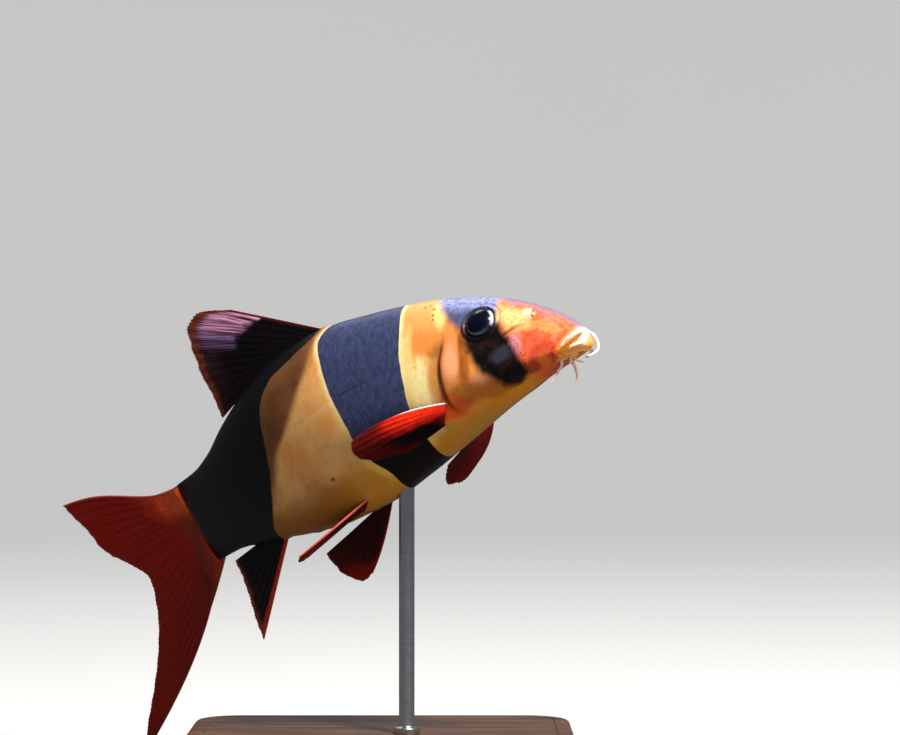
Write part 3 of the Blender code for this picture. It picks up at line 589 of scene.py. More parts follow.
# Its faint rings: spacing in mm, and height as a share of its thickness
BARBEL_RING_STEP = 0.55
BARBEL_RING_HEIGHT = 0.035
BARBEL_SIDES = 20
BARBEL_RINGS = 56
# Swelling of the skin at the barbels' roots in mm, and how pale it is
BARBEL_ROOTS = {"rostral": (0.3, 1.0), "maxillary": (0.16, 0.3), "mandibular": (0.16, 0.3)}

# Stand, in mm
BASE_CORNER = 12.0
BASE_EDGE = 1.5
BASE_LINE_INSET = 4.0
BASE_LINE_WIDTH = 0.35
ROD_RADIUS = 2.0
COLLAR_RADIUS = 3.4
COLLAR_HEIGHT = 1.6
COLLAR_SLOPE = 0.4
COLLAR_EDGE = 0.25

# Studio, in metres
FLOOR_RADIUS = 1.3
FLOOR_SWEEP = 0.9
FLOOR_SWEEP_STEPS = 12
CAMERA_SPOT = (0.018, -0.818, 0.1078)
CAMERA_LENS = 126.98
SENSOR_WIDTH = 36.0
SKY_COLOUR = (0.90, 0.93, 1.0, 1.0)
SKY_STRENGTH = 0.18
LIGHTS_AIM = (0.0, 0.0, 0.09)
# Lamps: name, spot, size, power, colour and whether it leaves a highlight
LAMPS = (
    ("key", (0.30, -0.38, 0.76), 0.16, 14.0, (1.0, 0.98, 0.95), True),
    ("fill", (-0.55, -0.75, 0.35), 0.7, 0.5, (0.95, 0.96, 1.0), False),
    ("bounce", (0.30, -0.55, 0.03), 0.5, 3.0, (1.0, 0.93, 0.82), False),
    ("rim", (-0.20, 0.45, 0.70), 0.3, 1.2, (1.0, 0.97, 0.95), True),
)


def smooth_curve(points):
    """A smooth function through (x, y) points that doesn't overshoot between them."""
    xs, ys = np.array(points, float).T
    rise = np.diff(ys) / np.diff(xs)
    before, after = rise[:-1], rise[1:]
    same_way = before * after > 0
    total = np.where(same_way, before + after, 1.0)
    inner = np.where(same_way, 2 * before * after / total, 0.0)
    slope = np.concatenate((rise[:1], inner, rise[-1:]))

    def value(x):
        x = np.asarray(x, float)
        i = np.clip(np.searchsorted(xs, x) - 1, 0, len(rise) - 1)
        span = xs[i + 1] - xs[i]
        t = np.clip((x - xs[i]) / span, 0.0, 1.0)
        start = ys[i] * (1 + 2 * t) * (1 - t) ** 2 + slope[i] * span * t * (1 - t) ** 2
        end = ys[i + 1] * t * t * (3 - 2 * t) + slope[i + 1] * span * t * t * (t - 1)
        return start + end

    return value


def soft_step(x, low, high):
    """0 below low, 1 above high and smooth between; low may be the larger of the two."""
    t = np.clip((x - low) / (high - low), 0.0, 1.0)
    return t * t * (3 - 2 * t)


def unit(vectors):
    return vectors / np.maximum(np.linalg.norm(vectors, axis=-1, keepdims=True), 1e-12)


def spine_frames():
    """Points of the spine, with the back, right and up axes at each."""
    bends = [smooth_curve(bend) for bend in (SIDE_BEND, BACK_BEND, TWIST)]
    pitch, yaw, roll = (math.radians(a) for a in (HEAD_PITCH, HEAD_YAW, HEAD_ROLL))
    level = np.array((-math.cos(yaw), math.sin(yaw), 0.0))
    back = level * math.cos(pitch) + np.array((0.0, 0.0, -math.sin(pitch)))
    level_up = level * math.sin(pitch) + np.array((0.0, 0.0, math.cos(pitch)))
    up = level_up * math.cos(roll) - np.cross(level_up, back) * math.sin(roll)
    step = 1.0 / SPINE_STEPS
    point = np.array(SNOUT_TIP) * MM
    frames = []
    for i in range(SPINE_STEPS + 1):
        right = np.cross(up, back)
        frames.append((point, back, right, up))
        side, rise, turn = (math.radians(bend(i * step)) * step for bend in bends)
        point = point + back * BODY_LENGTH * step
        new_back = unit(back - right * side + up * rise)
        new_up = up - back * rise - right * turn
        up = unit(new_up - new_back * new_up.dot(new_back))
        back = new_back
    return [np.array(column) for column in zip(*frames)]


SPINE = spine_frames()
BACK_HEIGHT, BELLY_DEPTH, HALF_WIDTH, WIDEST_LEVEL = (
    smooth_curve([(row[0] / 100, row[column] / 100 * BODY_LENGTH) for row in SECTIONS])
    for column in range(1, 5)
)


def frame_at(place):
    """Spine points and axes at places, carried on straight past both ends."""
    place = np.asarray(place, float)
    held = np.clip(place, 0.0, 1.0)
    position = held * SPINE_STEPS
    i = np.minimum(position.astype(int), SPINE_STEPS - 1)
    share = (position - i)[..., None]
    point, back, right, up = (table[i] + (table[i + 1] - table[i]) * share for table in SPINE)
    return point + back * ((place - held) * BODY_LENGTH)[..., None], back, right, up


def tail_curl(behind, above):
    """How far the tail fin curls to the right, in mm, behind the stalk and above the spine."""
    curl = TAIL_CURL - TAIL_CURL_CHANGE * np.tanh(above / TAIL_CURL_SPAN)
    return curl * (behind * behind + above * above)


def section_point(place, around):
    """Points of the smooth skin; around is in radians."""
    place, around = np.broadcast_arrays(np.asarray(place, float), np.asarray(around, float))
    held = np.clip(place, 0.0, 1.0)
    point, _, right, up = frame_at(place)
    across = np.cos(around)
    height = np.sin(around)
    power = np.where(height >= 0, 2 / ROUNDNESS_ABOVE, 2 / ROUNDNESS_BELOW)
    level = WIDEST_LEVEL(held)
    reach = np.where(height >= 0, BACK_HEIGHT(held) - level, BELLY_DEPTH(held) + level)
    cap = np.sqrt(np.clip(1.0 - (np.minimum(place, 0.0) / SNOUT_CAP) ** 2, 0.0, 1.0))
    wedge = np.clip((place - 1.0) / WEDGE_LENGTH, 0.0, 1.0)
    width = cap * (1.0 - (1.0 - WEDGE_END_WIDTH) * wedge)
    tall = cap * (1.0 - (1.0 - WEDGE_END_HEIGHT) * wedge)
    sideways = HALF_WIDTH(held) * width * np.sign(across) * np.abs(across) ** power
    upward = (level + reach * np.sign(height) * np.abs(height) ** power) * tall
    behind = (place - held) * BODY_LENGTH
    joined = soft_step(place, 0.975, 1.01)
    curled = tail_curl(np.maximum(behind, 0.0) / MM, upward / MM) * MM * joined
    return point + right * (sideways + curled)[..., None] + up * upward[..., None]


def skin_normal(place, around):
    """The outward direction of the skin."""
    nudge = 0.002
    lengthwise = section_point(place + nudge, around) - section_point(place - nudge, around)
    girthwise = section_point(place, around + nudge) - section_point(place, around - nudge)
    return -unit(np.cross(lengthwise, girthwise))


def skin(place, around_degrees, lift=0.0):
    """Points on the skin, or lifted off it by mm."""
    place = np.asarray(place, float)
    around = np.radians(around_degrees)
    return section_point(place, around) + skin_normal(place, around) * np.asarray(lift * MM)[..., None]


def skin_axes(place, around_degrees):
    """Axes at a spot of the skin: along the body, round it and out of it."""
    around = math.radians(around_degrees)
    out = skin_normal(place, around)
    along = section_point(place + 0.01, around) - section_point(place - 0.01, around)
    along = unit(along - out * along.dot(out))
    return along, np.cross(out, along), out


def on_side(side, around_degrees):
    """An angle of the right side, or the same on the left side."""
    return around_degrees if side == "right" else 180.0 - around_degrees


def smooth_path(points, steps):
    """Points along a smooth line through a few, with steps between each two."""
    points = np.array(points, float)
    padded = np.vstack((2 * points[0] - points[1], points, 2 * points[-1] - points[-2]))
    line = []
    for i in range(len(points) - 1):
        p = padded[i : i + 4]
        for t in np.arange(steps) / steps:
            square = p[0] * 2 - p[1] * 5 + p[2] * 4 - p[3]
            cube = p[1] * 3 - p[0] - p[2] * 3 + p[3]
            line.append((p[1] * 2 + (p[2] - p[0]) * t + square * t * t + cube * t**3) * 0.5)
    line.append(points[-1])
    return np.array(line)


def start_piece():
    bpy.ops.object.select_all(action="DESELECT")


def only_select(obj):
    bpy.ops.object.select_all(action="DESELECT")
    obj.select_set(True)
    bpy.context.view_layer.objects.active = obj


def new_piece(name):
    """Names the object that an operator has just added."""
    obj = bpy.context.view_layer.objects.active
    obj.name = name
    obj.data.name = name
    return obj


def apply_modifier(obj, modifier):
    only_select(obj)
    bpy.ops.object.modifier_apply(modifier=modifier.name)


def smooth_outwards(obj):
    """Turns the faces outwards and shades them smooth."""
    only_select(obj)
    bpy.ops.object.mode_set(mode="EDIT")
    bpy.ops.mesh.select_all(action="SELECT")
    bpy.ops.mesh.normals_make_consistent(inside=False)
    bpy.ops.object.mode_set(mode="OBJECT")
    bpy.ops.object.shade_smooth()


def vertex_places(obj):
    spots = np.empty(len(obj.data.vertices) * 3)
    obj.data.vertices.foreach_get("co", spots)
    return spots.reshape(-1, 3)


def move_vertices(obj, spots):
    obj.data.vertices.foreach_set("co", np.asarray(spots, float).ravel())
    obj.data.update()


def note_on_vertices(obj, name, values):
    """Stores one number for each vertex, for the materials to read."""
    layer = obj.data.attributes.new(name, "FLOAT", "POINT")
    layer.data.foreach_set("value", np.asarray(values, float))


def wear(obj, finish, slot, *nodes):
    """Gives a piece its material and its place in the model, and hides the imported parts that it stands for.
    """
    obj.data.materials.clear()
    obj.data.materials.append(finish)
    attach(obj, "root")
    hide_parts(*nodes)
    return obj


def ball_net(name, columns, rows):
    """A sphere primitive, with the row, from 0 at the top to 1, and the angle of each vertex."""
    start_piece()
    bpy.ops.mesh.primitive_uv_sphere_add(segments=columns, ring_count=rows, radius=1.0)
    obj = new_piece(name)
    x, y, z = vertex_places(obj).T
    return obj, np.arccos(np.clip(z, -1.0, 1.0)) / math.pi, np.arctan2(y, x)


def line_on_skin(path, side="right", steps=14):
    """A dense line on the skin through (place, around) points."""
    spots = smooth_path([(place, on_side(side, around)) for place, around in path], steps)
    return skin(spots[:, 0], spots[:, 1])


def distance_to(spots, line):
    """Distance in mm of each spot from a line, and how far along the line that is, 0 to 1."""
    nearest = np.full(len(spots), np.inf)
    share = np.zeros(len(spots))
    for i, (start, end) in enumerate(zip(line, line[1:])):
        run = end - start
        t = np.clip((spots - start) @ run / run.dot(run), 0.0, 1.0)
        off = np.linalg.norm(spots - start - t[:, None] * run, axis=1) / MM
        closer = off < nearest
        nearest[closer] = off[closer]
        share[closer] = (i + t[closer]) / (len(line) - 1)
    return nearest, share


def arc_across(half):
    """A path across the underside of the snout from its right half, which ends in the middle."""
    return list(half) + [(place, -180 - around) for place, around in reversed(half[:-1])]


def bump_of(distance, width):
    """A rounded hump, 1 at distance 0."""
    return np.exp(-((distance / width) ** 2))


def fading_ends(share, end, power):
    """1 in the middle of a line, and less towards its ends."""
    return np.sin(math.pi * np.clip(share, end, 1.0 - end)) ** power


class SkinShape:
    """The skin's net, and what is raised, sunk and marked on it."""

    def __init__(self, place, around):
        self.place = place
        self.around = around
        self.above = np.degrees(np.arctan2(np.sin(around), np.abs(np.cos(around))))
        self.spots = section_point(place, around)
        self.out = skin_normal(place, around)
        self.out[place <= -SNOUT_CAP] = -SPINE[1][0]
        self.out[place >= 1.0 + WEDGE_LENGTH] = SPINE[1][-1]
        self.smooth = self.spots.copy()
        self.lift = np.zeros(len(place))
        self.notes = {}

    def behind(self, edge):
        """Distance in mm behind an edge, below 0 in front of it."""
        return (self.place - smooth_curve(edge)(self.above)) * BODY_LENGTH / MM

    def near(self, path):
        """Distance from a line on both flanks, in mm, and the share along it."""
        right, share = distance_to(self.smooth, line_on_skin(path))
        left, left_share = distance_to(self.smooth, line_on_skin(path, "left"))
        return np.minimum(right, left), np.where(right < left, share, left_share)

    def near_spot(self, place, around_degrees):
        """Distance from a spot and its mirror image on the other flank, in mm."""
        spots = [skin(place, on_side(side, around_degrees)) for side in SIDES]
        return np.min([np.linalg.norm(self.smooth - spot, axis=1) for spot in spots], axis=0) / MM

    def from_oval(self, place, around_degrees, long, high, turn):
        """Distance from the middle of an oval on each flank, 1 being its edge."""
        lean = math.radians(turn)
        nearest = np.full(len(self.place), np.inf)
        for side, upwards in (("right", -1.0), ("left", 1.0)):
            around = on_side(side, around_degrees)
            along, girth, out = skin_axes(place, around)
            lengthwise = along * math.cos(lean) + girth * upwards * math.sin(lean)
            across = np.cross(out, lengthwise)
            off = self.smooth - skin(place, around)
            steps = ((lengthwise, long), (across, high), (out, OVAL_DEPTH))
            far = np.sqrt(sum((off @ axis / (size * MM)) ** 2 for axis, size in steps))
            nearest = np.minimum(nearest, far)
        return nearest

    def emboss(self, name, distance, where=1.0):
        """Raises or sinks one of the rounded forms of RELIEF."""
        height, width = RELIEF[name]
        self.lift += height * bump_of(distance, width) * where

    def mark(self, name, values):
        """Notes for the material where something is, keeping the larger of two notes."""
        self.notes[name] = np.maximum(self.notes.get(name, 0.0), values)

    def raise_gill_cover(self):
        """Raises each gill cover to its rear edge, with a crease behind it and a fold before it."""
        behind = self.behind(GILL_EDGE)
        ends = soft_step(self.above, *GILL_COVER_TOP) * soft_step(self.above, *GILL_COVER_BOTTOM)
        rise = soft_step(behind, -GILL_COVER_RISE, 0.0) * soft_step(behind, GILL_COVER_DROP, 0.0)
        self.lift += GILL_COVER_LIFT * rise * ends
        self.emboss("gill_crease", behind - 0.75, ends)
        width = 1.0 + 0.25 * soft_step(self.above, 10, -30)
        # Marks the crease behind the gill cover, where painted shade is laid
        self.mark("gill_fold", bump_of(behind - 0.7, width) * ends)
        groove, share = self.near(CHEEK_FOLD)
        fade = fading_ends(share, 0.02, 0.5)
        self.emboss("cheek_fold", groove, fade)
        self.mark("cheek_fold", bump_of(groove, 1.2) * fade)

    def set_off_muzzle(self):
        """A shallow groove behind the fleshy muzzle, with a low roll behind the groove."""
        behind = self.behind(MUZZLE_EDGE)
        fade = soft_step(self.above, 66, 30)
        self.emboss("muzzle_groove", behind, fade)
        self.emboss("muzzle_roll", behind - 0.85, fade * soft_step(self.above, 12, -8))
        self.mark("muzzle", soft_step(behind, 0.45, -0.35))

    def swell_head(self):
        for place, around, height, width in SWELLINGS:
            self.lift += height * bump_of(self.near_spot(place, around), width)

    def mark_patches(self):
        """Notes how near each soft patch is: 1 in its middle, a half at its edge and 0 well outside."""
        for name, _, _, _, ovals in PATCHES + PATCHES_OVER_BANDS:
            for oval in ovals:
                self.mark(name, soft_step(self.from_oval(*oval), 1.9, 0.1))

    def sink_fold(self):
        fold, share = self.near(FOLD_BELOW_EYE)
        fade = fading_ends(share, 0.03, 0.6)
        self.emboss("eye_fold", fold, fade)
        self.emboss("eye_fold_rim", fold - 0.9, fade)
        self.mark("eye_fold", bump_of(fold, 0.5) * fade)

    def open_nostrils(self):
        self.emboss("nostril_flap", self.near_spot(*NOSTRIL_FLAP))
        for oval in NOSTRILS:
            pit = self.from_oval(*oval)
            self.emboss("nostril_rim", pit - 2.1)
            self.emboss("nostril", pit)
            self.mark("nostril", bump_of(pit, 1.0))

    def shape_mouth(self):
        for path, height, width, pale_width in LIPS:
            lip, share = distance_to(self.smooth, line_on_skin(arc_across(path)))
            thinner = LIP_THINNING * (2 * share - 1) ** 2
            self.lift += (height - thinner) * bump_of(lip, width - thinner)
            self.mark("lips", bump_of(lip, pale_width))
        slit, _ = distance_to(self.smooth, line_on_skin(arc_across(MOUTH_LINE)))
        self.emboss("mouth_slit", slit)
        self.mark("mouth_slit", bump_of(slit, 0.42))

    def swell_fin_roots(self):
        for root, height, width in FIN_ROOT_SWELLS:
            self.lift += height * bump_of(self.near(root)[0], width)
        vent = self.near_spot(*VENT)
        self.emboss("vent", vent)
        self.emboss("vent_opening", vent)
        self.mark("vent", 0.7 * bump_of(vent, 0.5))

    def draw_lateral_line(self):
        line, _ = self.near(LATERAL_LINE)
        self.emboss("lateral_line", line)
        self.notes["lateral"] = np.minimum(line, BAND_REACH)

    def shape_sockets(self):
        """Sinks the skin under each eyeball and raises a thin lid round it."""
        for side in SIDES:
            around = on_side(side, EYE_PLACE[1])
            centre = skin(EYE_PLACE[0], around, -EYE_SUNK)
            along, girth, out = skin_axes(EYE_PLACE[0], around)
            local = np.array([(self.spots - centre) @ axis for axis in (along, girth, out)]) / MM
            off = np.hypot(local[0], local[1])
            here = (off < SOCKET_REACH) & (local[2] > -SOCKET_DEPTH)
            ball = EYE_HALF_DEPTH * np.sqrt(np.clip(1.0 - (off / EYE_RADIUS) ** 2, 0.0, 1.0))
            lid = local[2] + LID_RISE * bump_of(off - LID_CREST, 0.45)
            lid -= LID_GROOVE * bump_of(off - LID_CREST - 0.95, 0.4)
            under = soft_step(off, LID_CREST - 0.05, LID_RADIUS)
            level = lid * (1.0 - under) + (ball - EYE_GAP) * under
            move = np.where(here, level - local[2], 0.0)
            self.spots += out * (move * MM)[:, None]
            self.mark("lid", np.where(here, bump_of(off - LID_RADIUS, 0.5), 0.0))

    def push_out_pad(self):
        """Swells the tip of the snout to the fleshy pad, with a root for each barbel."""
        centre, *axes = frame_at(PAD_CENTRE)
        centre = centre + axes[2] * PAD_ABOVE * MM
        sizes = np.array(PAD_HALF_SIZE) * MM
        local = np.array([(self.spots - centre) @ axis for axis in axes]).T / sizes
        far = np.linalg.norm(local, axis=1)
        close = np.clip(1.0 - np.abs(far - 1.0) / PAD_BLEND, 0.0, 1.0)
        reach = np.maximum(far, 1.0) + PAD_BLEND / 4 * close * close
        grown = np.where(far < 1.3, reach / np.maximum(far, 1e-6), 1.0)
        steps = zip(axes, (local * sizes).T)
        self.spots = centre + sum(axis * (amount * grown)[:, None] for axis, amount in steps)
        for name, (points, thickness) in BARBELS.items():
            place, around, _ = points[0]
            off = np.linalg.norm(self.spots - skin(place, around, 0.3), axis=1) / MM
            swell, pale = BARBEL_ROOTS[name.split("_")[0]]
            self.spots += self.out * (swell * bump_of(off, thickness * 0.85) * MM)[:, None]
            self.mark("barbel_root", pale * bump_of(off, thickness * 1.05))

    def measure_bands(self):
        """Distance in mm inside each band's edge, below 0 outside it."""
        nudge = 0.5
        turn = 0.01
        ahead = section_point(self.place, self.around + turn)
        girth = np.linalg.norm(ahead - section_point(self.place, self.around - turn), axis=1)
        per_degree = girth / (2 * turn) * math.radians(1.0)
        for name, front, rear in BANDS:
            inside = np.full(len(self.place), np.inf)
            for edge, way in ((front, 1.0), (rear, -1.0)):
                curve = smooth_curve(edge)
                run = (curve(self.above + nudge) - curve(self.above - nudge)) / (2 * nudge)
                slant = np.hypot(1.0, run * BODY_LENGTH / np.maximum(per_degree, 1e-5))
                inside = np.minimum(inside, way * self.behind(edge) / slant)
            self.notes[name] = np.clip(inside, -BAND_REACH, BAND_REACH)
        # Where the shadow of the back fin is painted, on the flank before the third band
        self.notes["painted_fin_shadow"] = soft_step(self.behind(PAINTED_FIN_SHADOW_FRONT), -1.5, 2.5) * soft_step(self.above, -34, -4)

    def finish(self):
        self.raise_gill_cover()
        self.swell_head()
        self.set_off_muzzle()
        self.mark_patches()
        self.sink_fold()
        self.open_nostrils()
        self.shape_mouth()
        self.swell_fin_roots()
        self.draw_lateral_line()
        self.spots = self.smooth + self.out * (self.lift * MM)[:, None]
        self.shape_sockets()
        self.push_out_pad()
        self.measure_bands()
        self.notes["place"] = self.place
        self.notes["above"] = self.above


def skin_place(row):
    """Place along the body of each row of the net, rows being closest together on the snout."""
    first = 1.0 / (HEAD_ROWS + BODY_ROWS)
    head_share = HEAD_ROWS / (HEAD_ROWS + BODY_ROWS)
    along_head = np.clip((row - first) / (head_share - first), 0.0, 1.0)
    along_body = np.clip((row - head_share) / (1.0 - first - head_share), 0.0, 1.0)
    start = -SNOUT_CAP * 0.98
    head = start + (HEAD_ROWS_END - start) * along_head**HEAD_ROW_CROWDING
    body = HEAD_ROWS_END + (1.0 + WEDGE_LENGTH * 0.995 - HEAD_ROWS_END) * along_body
    place = np.where(row <= head_share, head, body)
    place = np.where(row < first / 2, -SNOUT_CAP, place)
    return np.where(row > 1.0 - first / 2, 1.0 + WEDGE_LENGTH, place)


def build_skin(finish):
    obj, row, around = ball_net("skin", SKIN_COLUMNS, HEAD_ROWS + BODY_ROWS)
    place = skin_place(row)
    shape = SkinShape(place, around)
    shape.finish()
    shape.spots[place >= 1.0 + WEDGE_LENGTH] = frame_at(1.0 + WEDGE_LENGTH)[0]
    move_vertices(obj, shape.spots)
    for name, values in shape.notes.items():
        note_on_vertices(obj, name, values)
    smooth_outwards(obj)
    return wear(obj, finish, "skin_body", "head", "trunk_front", "trunk_rear", "tail_stalk")


def build_eye(side, finish):
    """A flattened ball whose clear front bulges a little."""
    obj, row, turn = ball_net(f"eyeball_{side}", *EYE_NET)
    around = on_side(side, EYE_PLACE[1])
    along, girth, out = skin_axes(EYE_PLACE[0], around)
    off = np.sin(row * math.pi)
    deep = np.cos(row * math.pi)
    raised = deep * EYE_HALF_DEPTH + EYE_BULGE * bump_of(off, 0.62) * (deep > 0)
    steps = (along, off * np.cos(turn) * EYE_RADIUS), (girth, off * np.sin(turn) * EYE_RADIUS), (out, raised)
    centre = skin(EYE_PLACE[0], around, -EYE_SUNK)
    move_vertices(obj, centre + sum(axis * (amount * MM)[:, None] for axis, amount in steps))
    note_on_vertices(obj, "from_middle", np.where(deep > -0.05, off, 1.2))
    # Direction towards the light, by which the eye's painted reflection is placed
    up_front = unit(UPWARD * 0.42 - along * 0.90)
    towards = np.cos(turn) * (along @ up_front) + np.sin(turn) * (girth @ up_front)
    note_on_vertices(obj, "towards_light", towards * np.minimum(off * 2, 1.0))
    smooth_outwards(obj)
    return wear(obj, finish, "eye", f"eye_{side}")


def ray_ridge(k, s, rays):
    """Height of the rays of a fin, 0 to 1; each ray but the first splits in two and then in four."""
    position = k * (rays - 1)
    off = np.abs(position - np.round(position))
    forked = soft_step(position, 0.45, 0.55)
    half = 0.25 * soft_step(s, *FORKS[0]) * forked
    quarter = 0.125 * soft_step(s, *FORKS[1]) * forked
    crest = np.abs(np.abs(off - half) - quarter)
    width = 0.17 - 0.10 * s * forked + 0.16 * (1.0 - forked)
    return np.clip(1.0 - (crest / width) ** 2, 0.0, 1.0)


def fin_piece(name, sheet, net, finish, slot, nodes, fringe, root_thickness=0.0):
    """A fin from a flat grid: sheet(k, s) gives its middle surface from first ray to last, root to tip."""
    rays, rows = net
    start_piece()
    bpy.ops.mesh.primitive_grid_add(
        x_subdivisions=COLUMNS_PER_RAY * (rays - 1),
        y_subdivisions=rows,
        size=1.0,
        calc_uvs=True,
    )
    obj = new_piece(name)
    k, s, _ = vertex_places(obj).T + 0.5
    ridge = ray_ridge(k, s, rays)
    draw = np.random.default_rng(SEED)
    uneven = smooth_curve([(i / (rays - 1), draw.uniform(-1, 1)) for i in range(rays)])(k)
    spots = sheet(k, s * (1.0 - fringe * (1.0 - ridge) * s**3 + UNEVEN_MARGIN * uneven * s))
    move_vertices(obj, spots)
    normals = np.empty(len(k) * 3)
    obj.data.vertices.foreach_get("normal", normals)
    ripple = MEMBRANE_RIPPLE * np.sin(k * (rays - 1) * 2 * math.pi) * s * (1 - 0.4 * s)
    move_vertices(obj, spots + normals.reshape(-1, 3) * (ripple * MM)[:, None])
    note_on_vertices(obj, "ridge", ridge)
    group = obj.vertex_groups.new(name="thickness")
    thickness = MEMBRANE_THICKNESS + (RAY_THICKNESS - MEMBRANE_THICKNESS) * ridge * (1 - MARGIN_THINNING * s)
    thickness = thickness * (1 - 0.35 * s**4) + root_thickness * np.clip(1 - s / THICK_ROOT_SHARE, 0.0, 1.0)
    thickest = thickness.max()
    for index, share in enumerate(thickness / thickest):
        group.add([index], float(share), "REPLACE")
    solid = obj.modifiers.new("Thickness", "SOLIDIFY")
    solid.thickness = thickest * MM
    solid.offset = 0.0
    solid.vertex_group = group.name
    solid.use_even_offset = False
    solid.use_rim = True
    apply_modifier(obj, solid)
    smooth_outwards(obj)
    return wear(obj, finish, slot, *nodes)


def rayed_sheet(root, key_rays, bow=0.0):
    """The middle surface of a fin whose rays rise from a line on the skin.

    The tip of the first ray bends over towards the last ray by bow, and those after it less and less.
    """
    (first_place, first_around), (last_place, last_around) = root
    parts = [smooth_curve([(share, way[axis]) for share, way, _ in key_rays]) for axis in range(3)]
    length_at = smooth_curve([(share, length) for share, _, length in key_rays])

    def sheet(k, s):
        place = first_place + (last_place - first_place) * k
        around = np.radians(first_around + (last_around - first_around) * k)
        axes = frame_at(place)[1:]
        heading = unit(sum(axis * part(k)[:, None] for axis, part in zip(axes, parts)))
        aside = sum(axis * (part(1.0) - part(0.0)) for axis, part in zip(axes, parts))
        aside = unit(aside - heading * (aside * heading).sum(axis=1)[:, None])
        reach = (length_at(k) + FIN_ROOT_DEPTH) * s - FIN_ROOT_DEPTH
        bent = bow * (1.0 - k) ** 3 * s**3
        return section_point(place, around) + heading * (reach * MM)[:, None] + aside * (bent * MM)[:, None]

    return sheet


def tail_sheet(k, s):
    """The middle surface of the forked tail fin, curled to the right."""
    behind_at = smooth_curve([(share, behind) for share, behind, _ in TAIL_TIPS])
    above_at = smooth_curve([(share, above) for share, _, above in TAIL_TIPS])
    top, bottom = TAIL_ROOT_LEVELS
    root = top + (bottom - top) * k
    behind = behind_at(k) * s
    upper = np.clip(1 - 2 * k, 0, 1) ** 3
    lower = np.clip(2 * k - 1, 0, 1) ** 3
    once, twice = (upper * a + lower * b for a, b in zip(TAIL_UPPER_BOW, TAIL_LOWER_BOW))
    above = root + (above_at(k) - root) * s
    above = above + once * np.sin(math.pi * s) + twice * np.sin(2 * math.pi * s)
    end, back, right, up = frame_at(1.0)
    steps = (back, behind), (up, above), (right, tail_curl(behind, above))
    return end + sum(axis * (amount * MM)[:, None] for axis, amount in steps)


def build_fins(finishes):
    dark = "fin_dark"
    red = "fin_red"
    dorsal = rayed_sheet(DORSAL_ROOT, DORSAL_RAYS)
    anal = rayed_sheet(ANAL_ROOT, ANAL_RAYS)
    fin_piece("back_fin", dorsal, DORSAL_NET, finishes["dorsal"], dark, ["dorsal_fin"], 0.012)
    fin_piece("vent_fin", anal, ANAL_NET, finishes["anal"], dark, ["anal_fin"], 0.012)
    lobes = ["tail_fin_upper", "tail_fin_lower"]
    fin_piece("tail_fin", tail_sheet, TAIL_NET, finishes["tail"], red, lobes, 0.004, TAIL_ROOT_THICKNESS)
    for side in SIDES:
        for kind, root, rays, net in (
            ("pectoral", PECTORAL_ROOT, PECTORAL_RAYS, PECTORAL_NET),
            ("pelvic", PELVIC_ROOT, PELVIC_RAYS, PELVIC_NET),
        ):
            on_this_side = [(place, on_side(side, around)) for place, around in root]
            sheet = rayed_sheet(on_this_side, rays[side], FIN_BOW[kind][side])
            name = f"{kind}_{side}"
            finish = finishes.get(name, finishes[kind])
            fin_piece(name, sheet, net, finish, red, [f"{kind}_fin_{side}"], 0.008)


def build_barbel(name, finish):
    """A tapered feeler along its line, faintly ringed, with a round tip."""
    points, thickness = BARBELS[name]
    obj, row, turn = ball_net(f"feeler_{name}", BARBEL_SIDES, BARBEL_RINGS)
    line = smooth_path([skin(place, around, lift) for place, around, lift in points], 12)
    gone = np.concatenate(([0.0], np.cumsum(np.linalg.norm(np.diff(line, axis=0), axis=1))))

    def along_line(distance):
        return np.array([np.interp(distance, gone, line[:, axis]) for axis in range(3)]).T

    # The rings of the net crowd a little at both ends
    share = (1.0 - np.cos(row * math.pi)) / 2 * 0.3 + row * 0.7
    reached = share * gone[-1]
    step = 0.2 * MM
    heading = unit(along_line(reached + step) - along_line(reached - step))
    out = skin_normal(points[0][0], math.radians(points[0][1]))
    side = np.cross(out, line[-1] - line[0])
    side = unit(side - heading * (heading @ side)[:, None])
    across = np.cross(heading, side)
    rings = 1.0 + BARBEL_RING_HEIGHT * np.sin(reached / MM * 2 * math.pi / BARBEL_RING_STEP)
    tip = np.sqrt(1.0 - (1.0 - (1.0 - share) / BARBEL_TIP).clip(0.0, 1.0) ** 2)
    start = np.sqrt(np.clip(share / 0.02, 0.0, 1.0))
    radius = thickness / 2 * MM * (1.0 - BARBEL_TAPER * share) * rings * tip * start
    spread = side * (np.cos(turn) * radius)[:, None] + across * (np.sin(turn) * radius)[:, None]
    move_vertices(obj, along_line(reached) + spread)
    note_on_vertices(obj, "along", share)
    rosy = 0.0 if name.startswith("rostral") else 0.65
    note_on_vertices(obj, "rosy", np.full(len(share), rosy))
    smooth_outwards(obj)
    return wear(obj, finish, "barbel", f"barbel_{name}")


